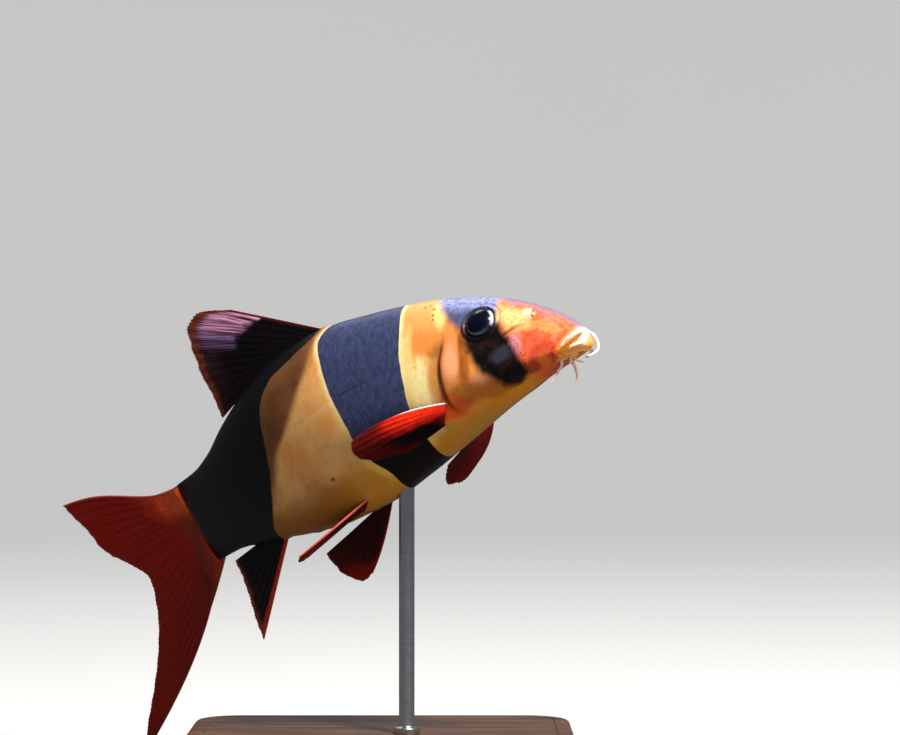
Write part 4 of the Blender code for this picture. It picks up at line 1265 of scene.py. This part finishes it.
def build_base(finish):
    """A flat block with round corners and a softened top edge, a fine line cut round its top."""
    low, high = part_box("stand_base")
    size = [high[axis] - low[axis] for axis in range(3)]
    middle = [(high[axis] + low[axis]) / 2 for axis in range(3)]
    start_piece()
    bpy.ops.mesh.primitive_cube_add(size=1.0, location=middle, scale=size)
    obj = new_piece("display_base")
    bpy.ops.object.transform_apply(location=True, rotation=True, scale=True)
    select_edges(obj, lambda a, b: abs(a.z - b.z) > size[2] / 2)
    bpy.ops.mesh.bevel(offset=BASE_CORNER * MM, segments=16, profile=0.5)
    bpy.ops.object.mode_set(mode="OBJECT")
    select_top_face(obj)
    bpy.ops.mesh.inset(thickness=BASE_LINE_INSET * MM)
    for way in (-1, 1):
        bpy.ops.mesh.inset(thickness=BASE_LINE_WIDTH * MM)
        bpy.ops.transform.translate(value=(0, 0, way * BASE_LINE_WIDTH * MM))
    bpy.ops.object.mode_set(mode="OBJECT")
    rim = high[2] - 0.1 * MM
    select_edges(obj, lambda a, b: min(a.z, b.z) > rim and on_outline(a, size) and on_outline(b, size))
    bpy.ops.mesh.bevel(offset=BASE_EDGE * MM, segments=5, profile=0.5)
    bpy.ops.object.mode_set(mode="OBJECT")
    only_select(obj)
    bpy.ops.object.shade_smooth_by_angle(angle=math.radians(35))
    return wear(obj, finish, "stand_wood", "stand_base")


def on_outline(spot, size):
    """True for a corner on the block's outline, seen from above."""
    corner = BASE_CORNER * MM
    x = abs(spot.x) - (size[0] / 2 - corner)
    y = abs(spot.y) - (size[1] / 2 - corner)
    return math.hypot(max(x, 0.0), max(y, 0.0)) >= corner - 0.5 * MM


def clear_selection(obj, kind):
    """Leaves edit mode with nothing selected, ready for edges or faces to be chosen."""
    only_select(obj)
    bpy.ops.object.mode_set(mode="EDIT")
    bpy.ops.mesh.select_mode(type=kind)
    bpy.ops.mesh.select_all(action="DESELECT")
    bpy.ops.object.mode_set(mode="OBJECT")


def select_edges(obj, chosen):
    """Goes into edit mode with the edges selected for whose two ends chosen is true."""
    clear_selection(obj, "EDGE")
    spots = obj.data.vertices
    for edge in obj.data.edges:
        edge.select = chosen(*(spots[i].co for i in edge.vertices))
    bpy.ops.object.mode_set(mode="EDIT")


def select_top_face(obj):
    clear_selection(obj, "FACE")
    for face in obj.data.polygons:
        face.select = face.normal.z > 0.9
    bpy.ops.object.mode_set(mode="EDIT")


def build_rod(finish):
    """A turned rod on a small collar, its top sunk in the belly."""
    low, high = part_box("stand_rod")
    base_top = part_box("stand_base")[1][2]
    centre = np.array(((low[0] + high[0]) / 2, (low[1] + high[1]) / 2))
    start_piece()
    bpy.ops.mesh.primitive_cylinder_add(
        vertices=64,
        radius=ROD_RADIUS * MM,
        depth=high[2] - base_top,
        location=(*centre, (high[2] + base_top) / 2),
    )
    obj = new_piece("display_rod")
    bpy.ops.object.transform_apply(location=True, rotation=True, scale=True)
    bpy.ops.object.mode_set(mode="EDIT")
    for level in (COLLAR_HEIGHT, COLLAR_HEIGHT + COLLAR_SLOPE):
        bpy.ops.mesh.select_all(action="SELECT")
        bpy.ops.mesh.bisect(plane_co=(0, 0, base_top + level * MM), plane_no=(0, 0, 1))
    bpy.ops.object.mode_set(mode="OBJECT")
    spots = vertex_places(obj)
    foot = spots[:, 2] < base_top + (COLLAR_HEIGHT + 0.1) * MM
    spots[foot, :2] = centre + (spots[foot, :2] - centre) * COLLAR_RADIUS / ROD_RADIUS
    move_vertices(obj, spots)
    collar_top = base_top + (COLLAR_HEIGHT + COLLAR_SLOPE + 0.1) * MM
    select_edges(obj, lambda a, b: abs(a.z - b.z) < 1e-6 and a.z < collar_top)
    bpy.ops.mesh.bevel(offset=COLLAR_EDGE * MM, segments=3, profile=0.5)
    bpy.ops.object.mode_set(mode="OBJECT")
    only_select(obj)
    bpy.ops.object.shade_smooth_by_angle(angle=math.radians(40))
    return wear(obj, finish, "stand_steel", "stand_rod")


class Recipe:
    """Writes the nodes of a material or node group line by line.

    A number or colour given for a socket is set on it, and a socket is joined to it. The tint is
    the colour laid on so far.
    """

    def __init__(self, tree):
        self.tree = tree
        self.tint = None

    def node(self, kind, **settings):
        made = self.tree.nodes.new(kind)
        for name, value in settings.items():
            setattr(made, name, value)
        return made

    def feed(self, socket, value):
        if isinstance(value, bpy.types.NodeSocket):
            self.tree.links.new(value, socket)
        elif isinstance(value, tuple) and len(value) == 3 and socket.type == "RGBA":
            socket.default_value = (*value, 1.0)
        else:
            socket.default_value = value

    def math(self, operation, first, *others):
        """Joins values by one operation, from the left."""
        for other in others:
            made = self.node("ShaderNodeMath", operation=operation)
            self.feed(made.inputs[0], first)
            self.feed(made.inputs[1], other)
            first = made.outputs[0]
        return first

    def add(self, *values):
        return self.math("ADD", *values)

    def times(self, *values):
        return self.math("MULTIPLY", *values)

    def frayed(self, value, cloud, amount):
        """A value made uneven by a noise."""
        return self.add(value, self.times(cloud, amount))

    def step(self, value, low, high):
        """0 at low, 1 at high and smooth between."""
        made = self.node("ShaderNodeMapRange", interpolation_type="SMOOTHSTEP")
        if low > high:
            self.feed(made.inputs["To Min"], 1.0)
            self.feed(made.inputs["To Max"], 0.0)
            low, high = high, low
        self.feed(made.inputs["Value"], value)
        self.feed(made.inputs["From Min"], low)
        self.feed(made.inputs["From Max"], high)
        return made.outputs["Result"]

    def hill(self, value, low, high, soft):
        """1 between low and high, fading to 0 over soft beyond them."""
        return self.times(self.step(value, low - soft, low), self.step(value, high + soft, high))

    def blend(self, share, a, b):
        made = self.node("ShaderNodeMix", data_type="RGBA")
        self.feed(made.inputs["Factor"], share)
        self.feed(made.inputs[6], a)
        self.feed(made.inputs[7], b)
        return made.outputs[2]

    def lay(self, share, tint, strength=1.0):
        """Lays a colour over the tint, as much as share times strength."""
        if strength < 1.0:
            share = self.times(share, strength)
        self.tint = self.blend(share, self.tint, tint)

    def noise(self, where, size, detail=3.0, roughness=0.5):
        """Cloudy noise about 0.5 whose features are about size metres across."""
        made = self.node("ShaderNodeTexNoise")
        self.feed(made.inputs["Vector"], where)
        self.feed(made.inputs["Scale"], 1.0 / size)
        self.feed(made.inputs["Detail"], detail)
        self.feed(made.inputs["Roughness"], roughness)
        return made.outputs["Fac"]

    def stretched(self, where, scale):
        made = self.node("ShaderNodeMapping")
        self.feed(made.inputs["Vector"], where)
        made.inputs["Scale"].default_value = scale
        return made.outputs["Vector"]

    def parted(self, vector):
        """The first two parts of a vector."""
        made = self.node("ShaderNodeSeparateXYZ")
        self.feed(made.inputs["Vector"], vector)
        return made.outputs["X"], made.outputs["Y"]

    def note(self, name):
        return self.node("ShaderNodeAttribute", attribute_name=name).outputs["Fac"]

    def own_place(self):
        return self.node("ShaderNodeTexCoord").outputs["Object"]

    def bump(self, height, strength, distance):
        made = self.node("ShaderNodeBump")
        made.inputs["Strength"].default_value = strength
        made.inputs["Distance"].default_value = distance
        self.feed(made.inputs["Height"], height)
        return made.outputs["Normal"]

    def use(self, group, **inputs):
        made = self.node("ShaderNodeGroup", node_tree=group)
        for name, value in inputs.items():
            self.feed(made.inputs[name.replace("_", " ")], value)
        return made.outputs


def colour(red, green, blue):
    """A colour from its screen values of 0 to 255."""
    screen = (red / 255, green / 255, blue / 255)
    return tuple(c / 12.92 if c <= 0.04045 else ((c + 0.055) / 1.055) ** 2.4 for c in screen)


def new_finish(name, recipe=Recipe):
    made = bpy.data.materials.new(name)
    made.use_nodes = True
    return made, recipe(made.node_tree), made.node_tree.nodes["Principled BSDF"].inputs


def set_values(shader, **values):
    """Sets constant values on the shader's own sockets, an underscore standing for a space."""
    for name, value in values.items():
        shader[name.replace("_", " ")].default_value = value


def let_light_in(shader, weight, radius):
    """Lets light spread under the surface, in metres for red, green and blue."""
    set_values(shader, Subsurface_Weight=weight, Subsurface_Radius=radius, Subsurface_Scale=1.0)


def new_group(name, inputs, outputs):
    """A node group with (name, kind, value) inputs and (name, kind) outputs."""
    tree = bpy.data.node_groups.new(name, "ShaderNodeTree")
    for title, kind, value in inputs:
        socket = tree.interface.new_socket(name=title, in_out="INPUT", socket_type=kind)
        if value is not None:
            socket.default_value = value
    for title, kind in outputs:
        tree.interface.new_socket(name=title, in_out="OUTPUT", socket_type=kind)
    recipe = Recipe(tree)
    source = recipe.node("NodeGroupInput").outputs
    sink = recipe.node("NodeGroupOutput").inputs
    return tree, recipe, source, sink


FLOAT = "NodeSocketFloat"
VECTOR = "NodeSocketVector"


def skin_grain_group():
    """Tiny scales and pores: a shade from 0 to 1 about 0.5, and the height of the grain."""
    tree, r, given, result = new_group(
        "skin grain",
        [("Place", VECTOR, None), ("Scale Size", FLOAT, 0.00045)],
        [("Shade", FLOAT), ("Height", FLOAT)],
    )
    scales = r.node("ShaderNodeTexVoronoi", feature="F1")
    r.feed(scales.inputs["Vector"], given["Place"])
    r.feed(scales.inputs["Scale"], r.math("DIVIDE", 1.0, given["Scale Size"]))
    fine = r.noise(given["Place"], 0.00035, 2.0)
    broad = r.noise(given["Place"], 0.0018, 3.0)
    dome = r.step(scales.outputs["Distance"], 0.75, 0.1)
    r.feed(result["Height"], r.add(r.times(dome, 0.7), r.times(fine, 0.5)))
    r.feed(result["Shade"], r.add(r.times(fine, 0.55), r.times(broad, 0.45)))
    return tree


def fin_ray_group():
    """Joints along the rays and mottled membrane between them, on the fin's own map."""
    tree, r, given, result = new_group(
        "fin rays",
        [("Ridge", FLOAT, 0.0), ("Map", VECTOR, None), ("Place", VECTOR, None)],
        [("Ray", FLOAT), ("Mottle", FLOAT), ("Height", FLOAT)],
    )
    _, outwards = r.parted(given["Map"])
    wander = r.noise(given["Place"], 0.004, 1.0)
    joints = r.math("SINE", r.frayed(r.times(outwards, 260.0), wander, 3.0), 0.0)
    on_ray = r.step(given["Ridge"], 0.15, 0.75)
    mottle = r.noise(given["Place"], 0.0016, 3.0, 0.6)
    r.feed(result["Ray"], on_ray)
    r.feed(result["Mottle"], mottle)
    relief = (r.times(joints, 0.25, on_ray), r.times(mottle, 0.35), r.times(given["Ridge"], 0.4))
    r.feed(result["Height"], r.add(*relief))
    return tree


TINTS = {name: colour(*screen) for name, screen in SKIN_TINTS.items()}


class SkinPaint(Recipe):
    """The skin's colours, laid one over the other from the flanks to the lips."""

    def prepare(self, grain_group):
        """Makes the skin's coordinates, noises and grain."""
        here = self.own_place()
        self.grain = self.use(grain_group, Place=here)
        self.place = self.note("place")
        self.above = self.note("above")
        self.clouds = self.noise(here, 0.011, 3.0, 0.55)
        self.mottle = self.noise(here, 0.0026, 3.0, 0.6)
        self.fine = self.noise(here, 0.0011, 2.0, 0.5)
        self.freckles = self.noise(here, 0.00075, 2.0)
        self.wobble = self.add(self.noise(here, 0.0022, 2.0), -0.5)
        self.ragged = self.add(self.noise(here, 0.0034, 3.0, 0.6), -0.5)
        # Fine upright streaks, as of scales in rows
        rows = self.node("ShaderNodeCombineXYZ")
        self.feed(rows.inputs["X"], self.place)
        self.feed(rows.inputs["Y"], self.times(self.above, 0.0006))
        self.streaks = self.noise(rows.outputs["Vector"], 0.0045, 2.0)

    def shade_of(self, share, first, second):
        """A colour between two named ones."""
        return self.blend(share, TINTS[first], TINTS[second])

    def along(self, low, high):
        """A step along the body."""
        return self.step(self.place, low, high)

    def upward(self, low, high):
        """A step in the angle above the side."""
        return self.step(self.above, low, high)

    def paint_flanks(self):
        self.tint = self.shade_of(self.step(self.clouds, 0.36, 0.64), "pale orange", "peach")
        self.lay(self.step(self.mottle, 0.55, 0.72), TINTS["mottled orange"], 0.35)
        low = self.step(self.frayed(self.above, self.clouds, 22.0), -4.0, -42.0)
        self.lay(low, TINTS["ochre"], 0.9)
        # Browner on the lower rear flank: partly the skin's colour, partly painted shade
        low = self.step(self.frayed(self.above, self.clouds, 24.0), 6.0, -34.0)
        self.lay(self.times(self.along(0.50, 0.62), low), TINTS["low flank brown and shade"], 0.65)
        # Painted shadow of the back fin, dark reddish brown on the flank before the third band
        self.lay(self.times(self.note("painted_fin_shadow"), self.frayed(0.65, self.clouds, 0.4)), TINTS["painted_fin_shadow"])

    def paint_stripe(self):
        """The stripe between the first two bands: orange above, pale cream below and behind."""
        stripe = self.hill(self.place, 0.272, 0.345, 0.02)
        level = self.frayed(self.above, self.ragged, 50.0)
        pale = self.times(self.step(level, 24.0, 8.0), self.upward(-62.0, -30.0))
        behind_gills = self.step(self.frayed(self.place, self.ragged, 0.04), 0.288, 0.312)
        self.lay(self.times(stripe, pale, behind_gills), TINTS["cream"])
        self.lay(self.times(stripe, self.step(level, 14.0, 28.0)), TINTS["bright orange"], 0.7)

    def paint_head(self):
        """Cheek, snout, chin and patches, and then the muzzle with a painted highlight on its upper part, the
        painted lavender sheen along the ridge of the snout, and the freckles.
        """
        cheek = self.times(self.hill(self.place, 0.15, 0.268, 0.02), self.hill(self.above, -52.0, 40.0, 14.0))
        self.lay(cheek, TINTS["cheek"], 0.75)
        snout = self.step(self.frayed(self.place, self.ragged, 0.05), 0.176, 0.130)
        rosy = self.times(snout, self.upward(-62.0, -40.0))
        self.lay(rosy, self.shade_of(self.step(self.mottle, 0.38, 0.62), "snout red", "snout pink"))
        chin = self.times(self.along(0.25, 0.14), self.upward(-44.0, -62.0))
        self.lay(chin, self.shade_of(self.along(0.13, 0.09), "throat", "chin"), 0.9)
        self.paint_patches(PATCHES)
        self.lay(self.times(rosy, self.step(self.fine, 0.50, 0.66)), TINTS["flush"], 0.35)
        # The muzzle: orange, paler on its upper part with a painted highlight
        muzzle = self.note("muzzle")
        upper = self.step(self.frayed(self.above, self.ragged, 40.0), -10.0, 34.0)
        self.lay(muzzle, self.shade_of(upper, "lower muzzle", "lit upper muzzle"), 0.9)
        # Painted lavender sheen along the ridge of the snout, where the light falls on it
        narrower = self.times(self.math("MAXIMUM", self.math("SUBTRACT", 0.12, self.place), 0.0), 120.0)
        bridge = self.frayed(self.add(self.above, narrower), self.ragged, 20.0)
        self.lay(self.times(self.step(bridge, 64.0, 78.0), self.along(0.20, 0.14)), TINTS["lavender sheen"], 0.85)
        freckles = self.times(self.step(self.freckles, 0.60, 0.68), self.upward(-50.0, -20.0))
        freckles = self.times(freckles, self.along(0.17, 0.12), self.step(muzzle, 1.0, 0.0))
        self.lay(freckles, TINTS["freckle"], 0.5)

    def paint_patches(self, patches):
        for name, screen, strength, raggedness, _ in patches:
            shows = self.step(self.frayed(self.note(name), self.ragged, raggedness), 0.12, 0.88)
            self.lay(shows, colour(*screen), strength)

    def paint_streaks_and_tail_root(self):
        self.lay(self.step(self.streaks, 0.50, 0.68), TINTS["streak"], 0.12)
        # Skin over the tail fin's root: brighter above where light shines through it and darker below,
        # painted light and shade
        tail_root = self.shade_of(self.upward(0.0, 50.0), "shaded lower tail root", "lit upper tail root")
        self.lay(self.along(0.955, 0.975), tail_root)
        # Painted shade in the fold below the eye
        self.lay(self.note("eye_fold"), TINTS["eye fold"], 0.8)

    def paint_bands(self):
        """The pale border of the second band, and then the bands themselves."""
        wide = self.times(self.upward(30.0, -40.0), 1.3)
        border = self.step(self.frayed(self.add(self.note("band_2"), wide), self.wobble, 1.6), -1.9, 0.1)
        border = self.times(border, self.upward(-70.0, -44.0))
        self.lay(border, self.shade_of(self.upward(20.0, -30.0), "cream", "yellow border"), 0.85)
        scales = self.add(self.times(self.grain["Shade"], 0.6), self.times(self.streaks, 0.4))
        blue = self.shade_of(self.step(scales, 0.40, 0.60), "band sheen blue", "band sheen slate")
        head_band = self.shade_of(self.step(self.mottle, 0.4, 0.7), "black", "warm black")
        # Blue grey sheen painted on the head band behind the eye and over the crown, where the light falls on
        # its top
        behind_eye = self.times(self.upward(26.0, 40.0), self.along(0.196, 0.216))
        head_band = self.blend(behind_eye, head_band, TINTS["sheen behind eye"])
        crown = self.shade_of(self.step(self.fine, 0.36, 0.62), "crown sheen blue", "crown sheen slate")
        on_crown = self.step(self.frayed(self.above, self.ragged, 10.0), 46.0, 62.0)
        head_band = self.blend(on_crown, head_band, crown)
        # The second band: blue grey on its upper part, a painted sheen where the light falls on it, black
        # lower down
        middle_band = self.blend(self.upward(-8.0, -40.0), blue, TINTS["black"])
        for name, band, edge, unevenness in (
            ("band_1", head_band, (-2.0, 0.8), 1.3),
            ("band_2", middle_band, (-0.12, 0.12), 0.35),
            ("band_3", TINTS["black"], (-0.35, 0.25), 0.6),
        ):
            self.lay(self.step(self.frayed(self.note(name), self.wobble, unevenness), *edge), band)

    def paint_details(self):
        """Lateral line, folds, lips, roots of the barbels, nostrils and lids."""
        line = self.times(self.step(self.note("lateral"), 0.30, 0.12), self.step(self.fine, 0.46, 0.56))
        line = self.times(line, self.step(self.note("band_2"), 0.0, 0.6))
        self.lay(line, TINTS["lateral line"], 0.75)
        # Painted shade in the folds, mouth slit, nostrils and vent; the lips, roots of the barbels and lids
        # in colours of their own
        for name, strength, screen in DETAIL_TINTS_AND_HOLLOW_SHADE:
            self.lay(self.note(name), colour(*screen), strength)


def skin_finish(grain_group):
    """Orange and cream skin with three dark bands, a rosy speckled snout and pale lips."""
    finish, r, shader = new_finish("loach_skin", SkinPaint)
    r.prepare(grain_group)
    r.paint_flanks()
    r.paint_stripe()
    r.paint_head()
    r.paint_streaks_and_tail_root()
    r.paint_bands()
    # Over the bands: a painted slate highlight on the head band, and the dark rear edge patch
    r.paint_patches(PATCHES_OVER_BANDS)
    r.paint_details()
    r.feed(shader["Base Color"], r.tint)
    r.feed(shader["Roughness"], r.frayed(0.34, r.grain["Shade"], 0.24))
    r.feed(shader["Normal"], r.bump(r.grain["Height"], 0.22, 0.00012))
    set_values(shader, Specular_IOR_Level=0.2, Coat_Weight=0.04, Coat_Roughness=0.22)
    let_light_in(shader, 0.06, (0.0016, 0.0007, 0.0003))
    return finish


def eye_finish():
    """A dark wet eye with a blue black pupil, and a silver crescent above and in front of it that is a
    painted reflection.
    """
    finish, r, shader = new_finish("loach_eye")
    off = r.note("from_middle")
    light = r.note("towards_light")
    streaks = r.noise(r.own_place(), 0.0005, 2.0)
    edge = r.frayed(off, r.add(streaks, -0.5), 0.02)
    r.tint = r.blend(streaks, colour(12, 15, 24), colour(30, 36, 52))
    arc = r.times(r.hill(edge, 0.79, 0.85, 0.035), r.step(light, 0.75, -0.55))
    r.lay(arc, r.blend(streaks, colour(70, 80, 110), colour(150, 160, 190)), 0.45)
    # Painted reflection of the light: a silver crescent on the side of the eye that faces the light
    painted_reflection = r.times(r.hill(off, 0.85, 0.93, 0.10), r.step(light, 0.70, 0.97))
    r.lay(painted_reflection, colour(196, 204, 232))
    r.lay(r.step(edge, 0.715, 0.685), colour(4, 7, 22))
    r.feed(shader["Base Color"], r.tint)
    r.feed(shader["Roughness"], r.frayed(0.16, streaks, 0.08))
    set_values(shader, Specular_IOR_Level=0.12, Coat_Weight=0.04, Coat_Roughness=0.06)
    return finish


def fin_finish(kind, ray_group):
    """Rays and membrane of a fin, from its entry in FIN_LOOKS."""
    look = FIN_LOOKS[kind]
    tints = {name: colour(*look[name]) for name in ("inner", "outer", "ray", "lead", "margin", "rear")}
    finish, r, shader = new_finish(f"{kind}_fin_finish")
    here = r.own_place()
    own_map = r.node("ShaderNodeTexCoord").outputs["UV"]
    k, s = r.parted(own_map)
    pattern = r.use(ray_group, Ridge=r.note("ridge"), Map=own_map, Place=here)
    clouds = r.add(r.noise(here, 0.006, 3.0), -0.5)
    gone = r.frayed(s, clouds, 0.35)
    inner_to, outer_from = look["spread"]
    r.tint = r.blend(r.step(gone, inner_to, outer_from), tints["inner"], tints["outer"])
    towards_rear = r.step(r.add(k, r.times(clouds, 0.2), r.times(s, 0.2)), *look["rear_spread"])
    r.lay(r.times(towards_rear, r.step(gone, 0.06, 0.28)), tints["rear"])
    # A brighter colour near the root: the pectoral fins' own red, and on the tail fin a painted glow of light
    # shining through it
    if "glow" in look:
        bright_to, fades_to, wide_to, width_fades_to = look["glow_ends"]
        slanted = r.frayed(k, s, 0.15)
        glows = r.times(r.step(gone, fades_to, bright_to), r.step(slanted, width_fades_to, wide_to))
        r.lay(glows, colour(*look["glow"]))
    r.lay(r.step(pattern["Mottle"], 0.40, 0.7), tints["rear"], 0.3)
    r.lay(r.times(pattern["Ray"], r.step(gone, inner_to, outer_from + 0.1)), tints["ray"], 0.6)
    # Lines of the membrane near the tips of the first rays, painted pink and violet where light shines
    # through the back fin
    if "streak" in look:
        lines = r.noise(r.stretched(own_map, (1.0, 0.03, 1.0)), 0.008, 2.0)
        tips = r.times(r.step(r.frayed(gone, k, 0.25), 0.58, 0.68), r.step(k, 0.46, 0.30))
        streaks = r.times(tips, r.step(s, 0.96, 0.86), r.step(lines, 0.32, 0.60))
        near_lead, further = (colour(*screen) for screen in look["streak"])
        r.lay(streaks, r.blend(r.step(k, 0.14, 0.34), near_lead, further), 0.85)
    edge = look["margin_from"]
    worn = r.frayed(s, r.add(pattern["Mottle"], -0.5), 0.12)
    r.lay(r.step(worn, edge, edge + 0.05), tints["margin"], 0.7)
    # The first ray's colour, on the near pectoral fin a painted highlight along its edge
    width = look["lead_width"]
    leads = r.step(r.frayed(k, clouds, 0.02), width, width * 0.4)
    r.lay(r.times(leads, r.step(s, look["lead_to"] + 0.1, look["lead_to"] - 0.1)), tints["lead"])
    r.feed(shader["Base Color"], r.tint)
    solid = r.math("MAXIMUM", pattern["Ray"], r.step(gone, 1.0, inner_to))
    clear = look["clear"]
    r.feed(shader["Alpha"], r.frayed(clear, solid, 1.0 - clear))
    r.feed(shader["Roughness"], r.frayed(0.32, pattern["Mottle"], 0.25))
    r.feed(shader["Normal"], r.bump(pattern["Height"], 0.3, 0.00018))
    set_values(shader, Specular_IOR_Level=0.12)
    let_light_in(shader, 0.2, (0.004, 0.0012, 0.0006))
    return finish


def barbel_finish(grain_group):
    """White flesh, a little warm near the root."""
    finish, r, shader = new_finish("barbel_flesh")
    grain = r.use(grain_group, Place=r.own_place(), Scale_Size=0.0003)
    r.tint = r.blend(grain["Shade"], colour(250, 242, 232), colour(236, 214, 196))
    r.lay(r.step(r.note("along"), 0.22, 0.0), colour(244, 200, 164), 0.4)
    r.lay(r.note("rosy"), colour(214, 156, 146))
    r.feed(shader["Base Color"], r.tint)
    r.feed(shader["Roughness"], r.frayed(0.28, grain["Shade"], 0.2))
    r.feed(shader["Normal"], r.bump(grain["Height"], 0.2, 0.00008))
    let_light_in(shader, 0.3, (0.0012, 0.0007, 0.0005))
    set_values(shader, Coat_Weight=0.25)
    return finish


def wood_finish():
    """Dark stained wood, its grain along the base, waxed."""
    finish, r, shader = new_finish("dark_wood")
    here = r.own_place()
    rings = r.noise(r.stretched(here, (0.09, 1.0, 0.8)), 0.0030, 4.0, 0.62)
    pores = r.noise(r.stretched(here, (0.05, 1.0, 1.0)), 0.0006, 2.0)
    r.tint = r.blend(r.step(rings, 0.34, 0.66), colour(58, 36, 22), colour(112, 72, 44))
    r.lay(r.step(pores, 0.56, 0.68), colour(32, 19, 12), 0.6)
    r.feed(shader["Base Color"], r.tint)
    r.feed(shader["Roughness"], r.frayed(0.30, pores, 0.2))
    r.feed(shader["Normal"], r.bump(pores, 0.25, 0.0002))
    set_values(shader, Coat_Weight=0.3, Coat_Roughness=0.25)
    return finish


def steel_finish():
    """Steel brushed round the rod."""
    finish, r, shader = new_finish("brushed_steel")
    lines = r.noise(r.stretched(r.own_place(), (0.12, 0.12, 1.0)), 0.00022, 2.0)
    r.feed(shader["Base Color"], r.blend(lines, colour(168, 169, 172), colour(206, 206, 208)))
    r.feed(shader["Roughness"], r.frayed(0.22, lines, 0.18))
    r.feed(shader["Normal"], r.bump(lines, 0.08, 0.0001))
    set_values(shader, Metallic=1.0)
    return finish


def floor_finish():
    """Pale card that glows a little, so that it stays even away from the lights."""
    finish, r, shader = new_finish("pale_floor")
    clouds = r.noise(r.own_place(), 0.25, 2.0)
    r.feed(shader["Base Color"], r.blend(clouds, colour(178, 178, 176), colour(184, 183, 181)))
    set_values(shader, Roughness=0.9, Specular_IOR_Level=0.1)
    set_values(shader, Emission_Color=(1.0, 1.0, 0.99, 1.0), Emission_Strength=0.42)
    return finish


def build_floor(finish):
    """A wide pale floor that sweeps up all round into a low wall."""
    start_piece()
    bpy.ops.mesh.primitive_circle_add(vertices=96, radius=FLOOR_RADIUS, fill_type="NGON")
    obj = new_piece("studio_floor")
    bpy.ops.object.mode_set(mode="EDIT")
    bpy.ops.mesh.select_all(action="SELECT")
    bpy.ops.mesh.select_mode(type="EDGE")
    bpy.ops.mesh.region_to_loop()
    angles = np.radians(np.linspace(0, 90, FLOOR_SWEEP_STEPS + 1))
    radii = FLOOR_RADIUS + FLOOR_SWEEP * np.sin(angles)
    rises = FLOOR_SWEEP * -np.diff(np.cos(angles))
    for rise, wider in zip(rises, radii[1:] / radii[:-1]):
        bpy.ops.mesh.extrude_region_move(TRANSFORM_OT_translate={"value": (0, 0, rise)})
        bpy.ops.transform.resize(value=(wider, wider, 1))
    bpy.ops.object.mode_set(mode="OBJECT")
    bpy.ops.object.shade_smooth()
    obj.data.materials.append(finish)
    obj.visible_diffuse = False
    obj.visible_glossy = False


def soft_light(name, spot, size, power, tint, shines):
    """A round lamp aimed at the fish; one that doesn't shine leaves no highlight."""
    data = bpy.data.lights.new(name, "AREA")
    data.shape = "DISK"
    data.size = size
    data.energy = power
    data.color = tint
    obj = bpy.data.objects.new(name, data)
    bpy.context.scene.collection.objects.link(obj)
    obj.location = spot
    obj.rotation_euler = (Vector(LIGHTS_AIM) - Vector(spot)).to_track_quat("-Z", "Y").to_euler()
    obj.visible_glossy = shines


def build_studio():
    build_floor(floor_finish())
    scene = bpy.context.scene
    scene.world = bpy.data.worlds.new("studio_air")
    scene.world.use_nodes = True
    sky = scene.world.node_tree.nodes["Background"].inputs
    sky["Color"].default_value = SKY_COLOUR
    sky["Strength"].default_value = SKY_STRENGTH
    for lamp in LAMPS:
        soft_light(*lamp)
    data = bpy.data.cameras.new("photo_view")
    data.sensor_fit = "HORIZONTAL"
    data.sensor_width = SENSOR_WIDTH
    data.lens = CAMERA_LENS
    data.clip_start = 0.01
    camera = bpy.data.objects.new("photo_view", data)
    scene.collection.objects.link(camera)
    camera.location = CAMERA_SPOT
    camera.rotation_euler = (math.radians(90), 0.0, 0.0)
    scene.camera = camera
    scene.view_settings.view_transform = "Standard"


def main():
    grain_group = skin_grain_group()
    ray_group = fin_ray_group()
    build_skin(skin_finish(grain_group))
    eye = eye_finish()
    for side in SIDES:
        build_eye(side, eye)
    build_fins({kind: fin_finish(kind, ray_group) for kind in FIN_LOOKS})
    barbel = barbel_finish(grain_group)
    for name in BARBELS:
        build_barbel(name, barbel)
    build_base(wood_finish())
    build_rod(steel_finish())
    build_studio()


main()
